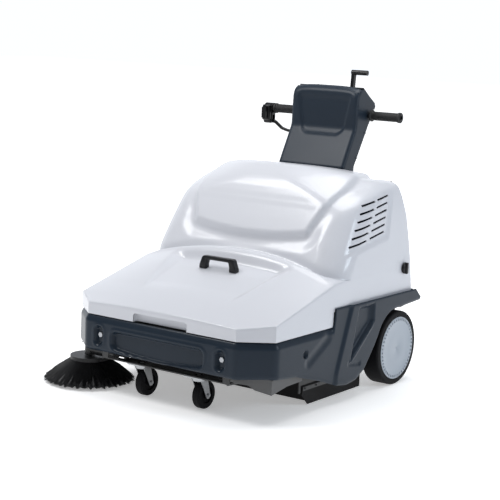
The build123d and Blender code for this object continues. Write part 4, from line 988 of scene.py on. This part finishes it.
# %% Hand grips
def grip_profile():
    """Inner flange, ribbed sleeve and end flange."""
    profile = [(0.1625, 0.0116), (0.1625, 0.0215), (0.164, 0.0228), (0.168, 0.0228), (0.1695, 0.0215), (0.171, 0.0170)]
    for k in range(17):
        start = 0.1745 + k * 0.0064
        profile += [(start, 0.0163), (start + 0.0006, 0.0175), (start + 0.0040, 0.0175), (start + 0.0046, 0.0163)]
    profile += [(0.2845, 0.0170), (0.286, 0.0205), (0.2945, 0.0205), (0.295, 0.0195), (0.295, 0.0116), (0.1625, 0.0116)]
    return profile


grip_shapes = []
for side in (-1, 1):
    grip_shapes.append(turned([(side * along_x, radius) for along_x, radius in grip_profile()], (1, 0, 0),
                              (0, bar_y, bar_z), 40))
piece("ribbed_grips", merged(*grip_shapes), grip_rubber, "chassis", ("hand_grips",), angle=40)
print("grips with 17 ribs each")


# %% Lever housing, safety button and hand lever
def swept(points, widths, high, bevel):
    """A flat bar along a line in the XZ plane: its half height at each point, and its depth."""
    bm = bmesh.new()
    upper, lower = [], []
    for k, (point, width) in enumerate(zip(points, widths)):
        before, after = Vector(points[max(k - 1, 0)]), Vector(points[min(k + 1, len(points) - 1)])
        run = (after - before).normalized()
        across = Vector((-run.y, run.x))
        upper.append(Vector(point) + across * width)
        lower.append(Vector(point) - across * width)
    loop = [bm.verts.new((p.x, high[0], p.y)) for p in upper + lower[::-1]]
    flat = bm.faces.new(loop)
    made = bmesh.ops.extrude_face_region(bm, geom=[flat])["geom"]
    bmesh.ops.translate(bm, vec=(0.0, high[1] - high[0], 0.0), verts=[g for g in made if isinstance(g, bmesh.types.BMVert)])
    bmesh.ops.recalc_face_normals(bm, faces=bm.faces)
    bmesh.ops.bevel(bm, geom=list(bm.edges), offset=bevel, affect="EDGES", segments=3, profile=0.5, material=-1,
                    clamp_overlap=True)
    return bm


house_low, house_high = drawn("lever_housing")
clamp_ring = turned([(house_low.x, 0.0114), (house_low.x, 0.0190), (house_low.x + 0.002, 0.0209),
                     (house_high.x - 0.002, 0.0209), (house_high.x, 0.0190), (house_high.x, 0.0114),
                     (house_low.x, 0.0114)], (1, 0, 0),
                    (0, bar_y, bar_z), 40)
house_body = box_mesh((house_low.x, 0.4985, house_low.z), (house_high.x, 0.5335, 0.997), 0.007)
house_nose = box_mesh((house_low.x + 0.0015, house_low.y, 0.943), (house_high.x - 0.0015, 0.503, 1.0065), 0.006)
housing = piece("lever_housing_moulding", merged(clamp_ring, house_body, house_nose), gloss_black, "chassis",
                ("lever_housing",))
button_low, button_high = drawn("lock_button")
carve(housing, [box_mesh((button_low.x - 0.0008, button_low.y - 0.01, button_low.z - 0.0008),
                         (button_high.x + 0.0008, button_high.y + 0.0035, button_high.z + 0.0008)),
                box_mesh((-0.3385, 0.509, 0.90), (-0.29, 0.5275, 0.9655)),
                turned([(-0.4, 0.0), (-0.4, 0.0112), (-0.2, 0.0112), (-0.2, 0.0)], (1, 0, 0), (0, bar_y, bar_z), 32)])
housing.data.shade_smooth()
housing.data.set_sharp_from_angle(angle=math.radians(40))
button = box_mesh(button_low, button_high, 0.0022)
piece("safety_button_cap", button, yellow, "safety_button", ("lock_button",), angle=50)
pivot_x, pivot_z = -0.325, 0.945
lever_line = [(pivot_x - 0.004, pivot_z), (pivot_x + 0.012, pivot_z - 0.001), (pivot_x + 0.037, pivot_z - 0.009),
              (pivot_x + 0.052, pivot_z - 0.020), (pivot_x + 0.068, pivot_z - 0.031), (pivot_x + 0.090, pivot_z - 0.037),
              (pivot_x + 0.148, pivot_z - 0.047), (pivot_x + 0.156, pivot_z - 0.049)]
lever_bar = swept(lever_line, [0.0075, 0.0085, 0.0060, 0.0056, 0.0058, 0.0056, 0.0052, 0.0030], (0.5115, 0.5245), 0.0030)
lever_pin = turned([(-0.0195, 0.0), (-0.0195, 0.0036), (0.0125, 0.0036), (0.0125, 0.0)], (0, 1, 0),
                   (pivot_x, bar_y, pivot_z), 24)
piece("hand_lever_bar", merged(lever_bar, lever_pin), gloss_black, "drive_lever", ("hand_lever",),
      angle=50)
print("housing, button and lever on the left")

# %% Bonnet handle
handle_low, handle_high = drawn("bonnet_handle")
reach, top, foot = handle_high.x, handle_high.z, handle_low.z - 0.003
outer = [(-reach, foot), (-reach + 0.001, foot + 0.014), (-reach + 0.012, top - 0.006), (-reach + 0.019, top)]
inner = [(reach - 0.031, foot), (reach - 0.031, foot + 0.018), (reach - 0.036, top - 0.0135)]
loop = outer + [(-x, z) for x, z in outer[::-1]] + inner + [(-x, z) for x, z in inner[::-1]]
handle_bm = bmesh.new()
handle_verts = [handle_bm.verts.new((x, handle_low.y, z)) for x, z in loop]
side_face = handle_bm.faces.new(handle_verts)
made = bmesh.ops.extrude_face_region(handle_bm, geom=[side_face])["geom"]
bmesh.ops.translate(handle_bm, vec=(0.0, handle_high.y - handle_low.y, 0.0),
                    verts=[g for g in made if isinstance(g, bmesh.types.BMVert)])
bmesh.ops.recalc_face_normals(handle_bm, faces=handle_bm.faces)
bmesh.ops.bevel(handle_bm, geom=list(handle_bm.edges), offset=0.0035, affect="EDGES", segments=3, profile=0.5,
                material=-1, clamp_overlap=True)
piece("bridge_handle", handle_bm, gloss_black, "bonnet_body", ("bonnet_handle",), angle=50)
print("bridge handle", round(2 * reach, 3), "m long")

# %% Bonnet lock knobs
for side, name in ((1, "right"), (-1, "left")):
    low, high = drawn(f"bonnet_lock_{name}")
    mid_y, mid_z = (low.y + high.y) / 2, (low.z + high.z) / 2
    turn = [(0.4105, 0.0), (0.4105, 0.0085), (0.4335, 0.0085), (0.4335, 0.0205), (0.435, 0.0218), (0.439, 0.0218),
            (0.4415, 0.0205), (0.4435, 0.0165), (0.4440, 0.0)]
    disc = turned([(side * place, radius) for place, radius in turn], (1, 0, 0), (0, mid_y, mid_z), 40)
    ends = sorted((side * 0.437, side * 0.4495))
    wing = box_mesh((ends[0], mid_y - 0.0068, mid_z - 0.0215), (ends[1], mid_y + 0.0068, mid_z + 0.0215), 0.003)
    piece(f"lock_knob_{name}", merged(disc, wing), gloss_black, f"lock_{name}", (f"bonnet_lock_{name}",),
          angle=45)
print("two lock knobs")

# %% [markdown]
# ## Wheels
#
# The hubcap is a pale disc with a ring of notches near its edge. The lathe gives it 96 facets, and
# every second facet of one ring is inset and pushed in to make the notches.

# %% Hubcaps
cap_radius = (drawn("hubcap_right")[1].z - drawn("hubcap_right")[0].z) / 2
cap_centre = (drawn("hubcap_right")[1] + drawn("hubcap_right")[0]) / 2
for side, name in ((1, "right"), (-1, "left")):
    turn = [(0.4368, 0.0), (0.4368, 0.0200), (0.4480, 0.0210), (0.4478, cap_radius - 0.002), (0.4492, cap_radius),
            (0.4512, cap_radius - 0.0008), (0.4522, cap_radius - 0.003), (0.4522, cap_radius - 0.0050),
            (0.4522, cap_radius - 0.0140), (0.4517, cap_radius - 0.0175), (0.4505, cap_radius - 0.020),
            (0.4500, 0.060), (0.4500, 0.0085), (0.4490, 0.0070), (0.4488, 0.0035), (0.4502, 0.0028), (0.4504, 0.0)]
    cap = turned([(side * place, radius) for place, radius in turn], (1, 0, 0), (0, cap_centre.y, cap_centre.z), 96)
    ring = []
    for f in cap.faces:
        centre = f.calc_center_median()
        radius = math.hypot(centre.y - cap_centre.y, centre.z - cap_centre.z)
        if abs(radius - (cap_radius - 0.0095)) < 0.0015 and abs(centre.x) > 0.4515:
            ring.append((math.atan2(centre.z - cap_centre.z, centre.y - cap_centre.y), f))
    ring.sort(key=lambda pair: pair[0])
    notches = [f for k, (_, f) in enumerate(ring) if k % 2 == 0]
    bmesh.ops.inset_individual(cap, faces=notches, thickness=0.0005, depth=0.0)
    for f in notches:
        # The notch floors take the near-black second finish, which is painted shade in the notches.
        f.material_index = 1
        for v in f.verts:
            v.co.x -= side * 0.0045
    hub = piece(f"notched_hubcap_{name}", cap, cap_grey, f"wheel_{name}", (f"hubcap_{name}",), angle=35)
    hub.data.materials.append(notch_painted_shade)
print("hubcaps with", len(notches), "notches each")

# %% [markdown]
# ## The side brush
#
# Thousands of nylon bristles leave the disc in tufts and spread to a wide skirt. Each bristle is a thin
# three-sided spike with a bend. A ragged dark cone just inside them keeps the brush closed.

# %% Side brush bristles
random.seed(7)
brush_low, brush_high = drawn("side_brush_bristles")
brush_centre = (brush_low + brush_high) / 2
brush_reach = (brush_high.x - brush_low.x) / 2
bristle_count = 4200
spikes = bmesh.new()
for k in range(bristle_count):
    angle = math.tau * (k * 0.6180339887 % 1.0) + random.uniform(-0.01, 0.01)
    share = random.random()
    root = 0.044 + 0.024 * share
    tip = brush_reach * (0.72 + 0.275 * share ** 0.6) * random.uniform(0.965, 1.0)
    drop = random.uniform(0.0012, 0.010) + 0.020 * (1.0 - share) * random.random()
    twist = angle + random.uniform(-0.07, 0.07)
    line = []
    for t in (0.0, 0.45, 1.0):
        radius = root + (tip - root) * t ** 0.92
        spin = angle + (twist - angle) * t
        height = 0.088 + (drop - 0.088) * t ** 1.06
        line.append(Vector((radius * math.cos(spin), radius * math.sin(spin), height)))
    rings = []
    for point, thick in zip(line[:2], (0.0012, 0.0010)):
        ring = []
        for j in range(3):
            a = angle + math.tau * j / 3
            ring.append(spikes.verts.new(point + Vector((-math.sin(a) * thick, math.cos(a) * thick, thick * 0.6 * (j - 1)))))
        rings.append(ring)
    end = spikes.verts.new(line[2])
    for j in range(3):
        spikes.faces.new((rings[0][j], rings[0][(j + 1) % 3], rings[1][(j + 1) % 3], rings[1][j]))
        spikes.faces.new((rings[1][j], rings[1][(j + 1) % 3], end))
bmesh.ops.translate(spikes, vec=(brush_centre.x, brush_centre.y, 0.0), verts=spikes.verts)
bmesh.ops.recalc_face_normals(spikes, faces=spikes.faces)
piece("side_brush_spikes", spikes, bristle_nylon, "side_brush", ("side_brush_bristles",), shade=False)

core = bmesh.new()
bmesh.ops.create_grid(core, x_segments=180, y_segments=6, size=1.0)
for vert in core.verts:
    angle = math.pi * (vert.co.x + 1.0)
    t = (vert.co.y + 1.0) / 2.0
    ragged = 0.006 * math.sin(angle * 60.0) * t + 0.004 * math.sin(angle * 23.0 + 1.0) * t
    radius = 0.060 + (brush_reach * 0.90 - 0.060) * t + ragged
    height = 0.086 + (0.014 - 0.086) * t + 0.004 * math.sin(angle * 41.0) * t
    vert.co = (brush_centre.x + radius * math.cos(angle), brush_centre.y + radius * math.sin(angle), height)
bmesh.ops.remove_doubles(core, verts=core.verts, dist=1e-5)
bmesh.ops.recalc_face_normals(core, faces=core.faces)
core.normal_update()
if max(core.faces, key=lambda f: f.calc_center_median().z).normal.z < 0:
    bmesh.ops.reverse_faces(core, faces=core.faces)
brush_core = piece("side_brush_inner", core, bristle_nylon, "side_brush", ())
shell(brush_core, 0.003)
print(bristle_count, "bristles")

# %% [markdown]
# The bonnet halves of the hinges reach up to the hood from inside.

# %% Hinge leaves
hinge_x, hinge_y, hinge_z = 0.222, 0.312, 0.768
hinge_parts = []
for side in (-1, 1):
    x = side * hinge_x
    hinge_parts.append(box_mesh((x - 0.020, hinge_y - 0.044, hinge_z - 0.003), (x + 0.020, hinge_y - 0.002, hinge_z + 0.003), 0.0008))
    hinge_parts.append(box_mesh((x - 0.020, hinge_y - 0.050, hinge_z - 0.003), (x + 0.020, hinge_y - 0.042, 0.787), 0.0008))
    hinge_parts.append(turned([(x - 0.020, 0.0), (x - 0.020, 0.0078), (x + 0.020, 0.0078), (x + 0.020, 0.0)], (1, 0, 0),
                              (0, hinge_y, hinge_z), 28))
    hinge_parts.append(turned([(x - 0.036, 0.0), (x - 0.036, 0.0045), (x + 0.036, 0.0045), (x + 0.036, 0.0)], (1, 0, 0),
                              (0, hinge_y, hinge_z), 20))
piece("hinge_leaf_plates", merged(*hinge_parts), zinc, "bonnet_body", ("hinge_leaves",), angle=40)
print("hinge leaves")
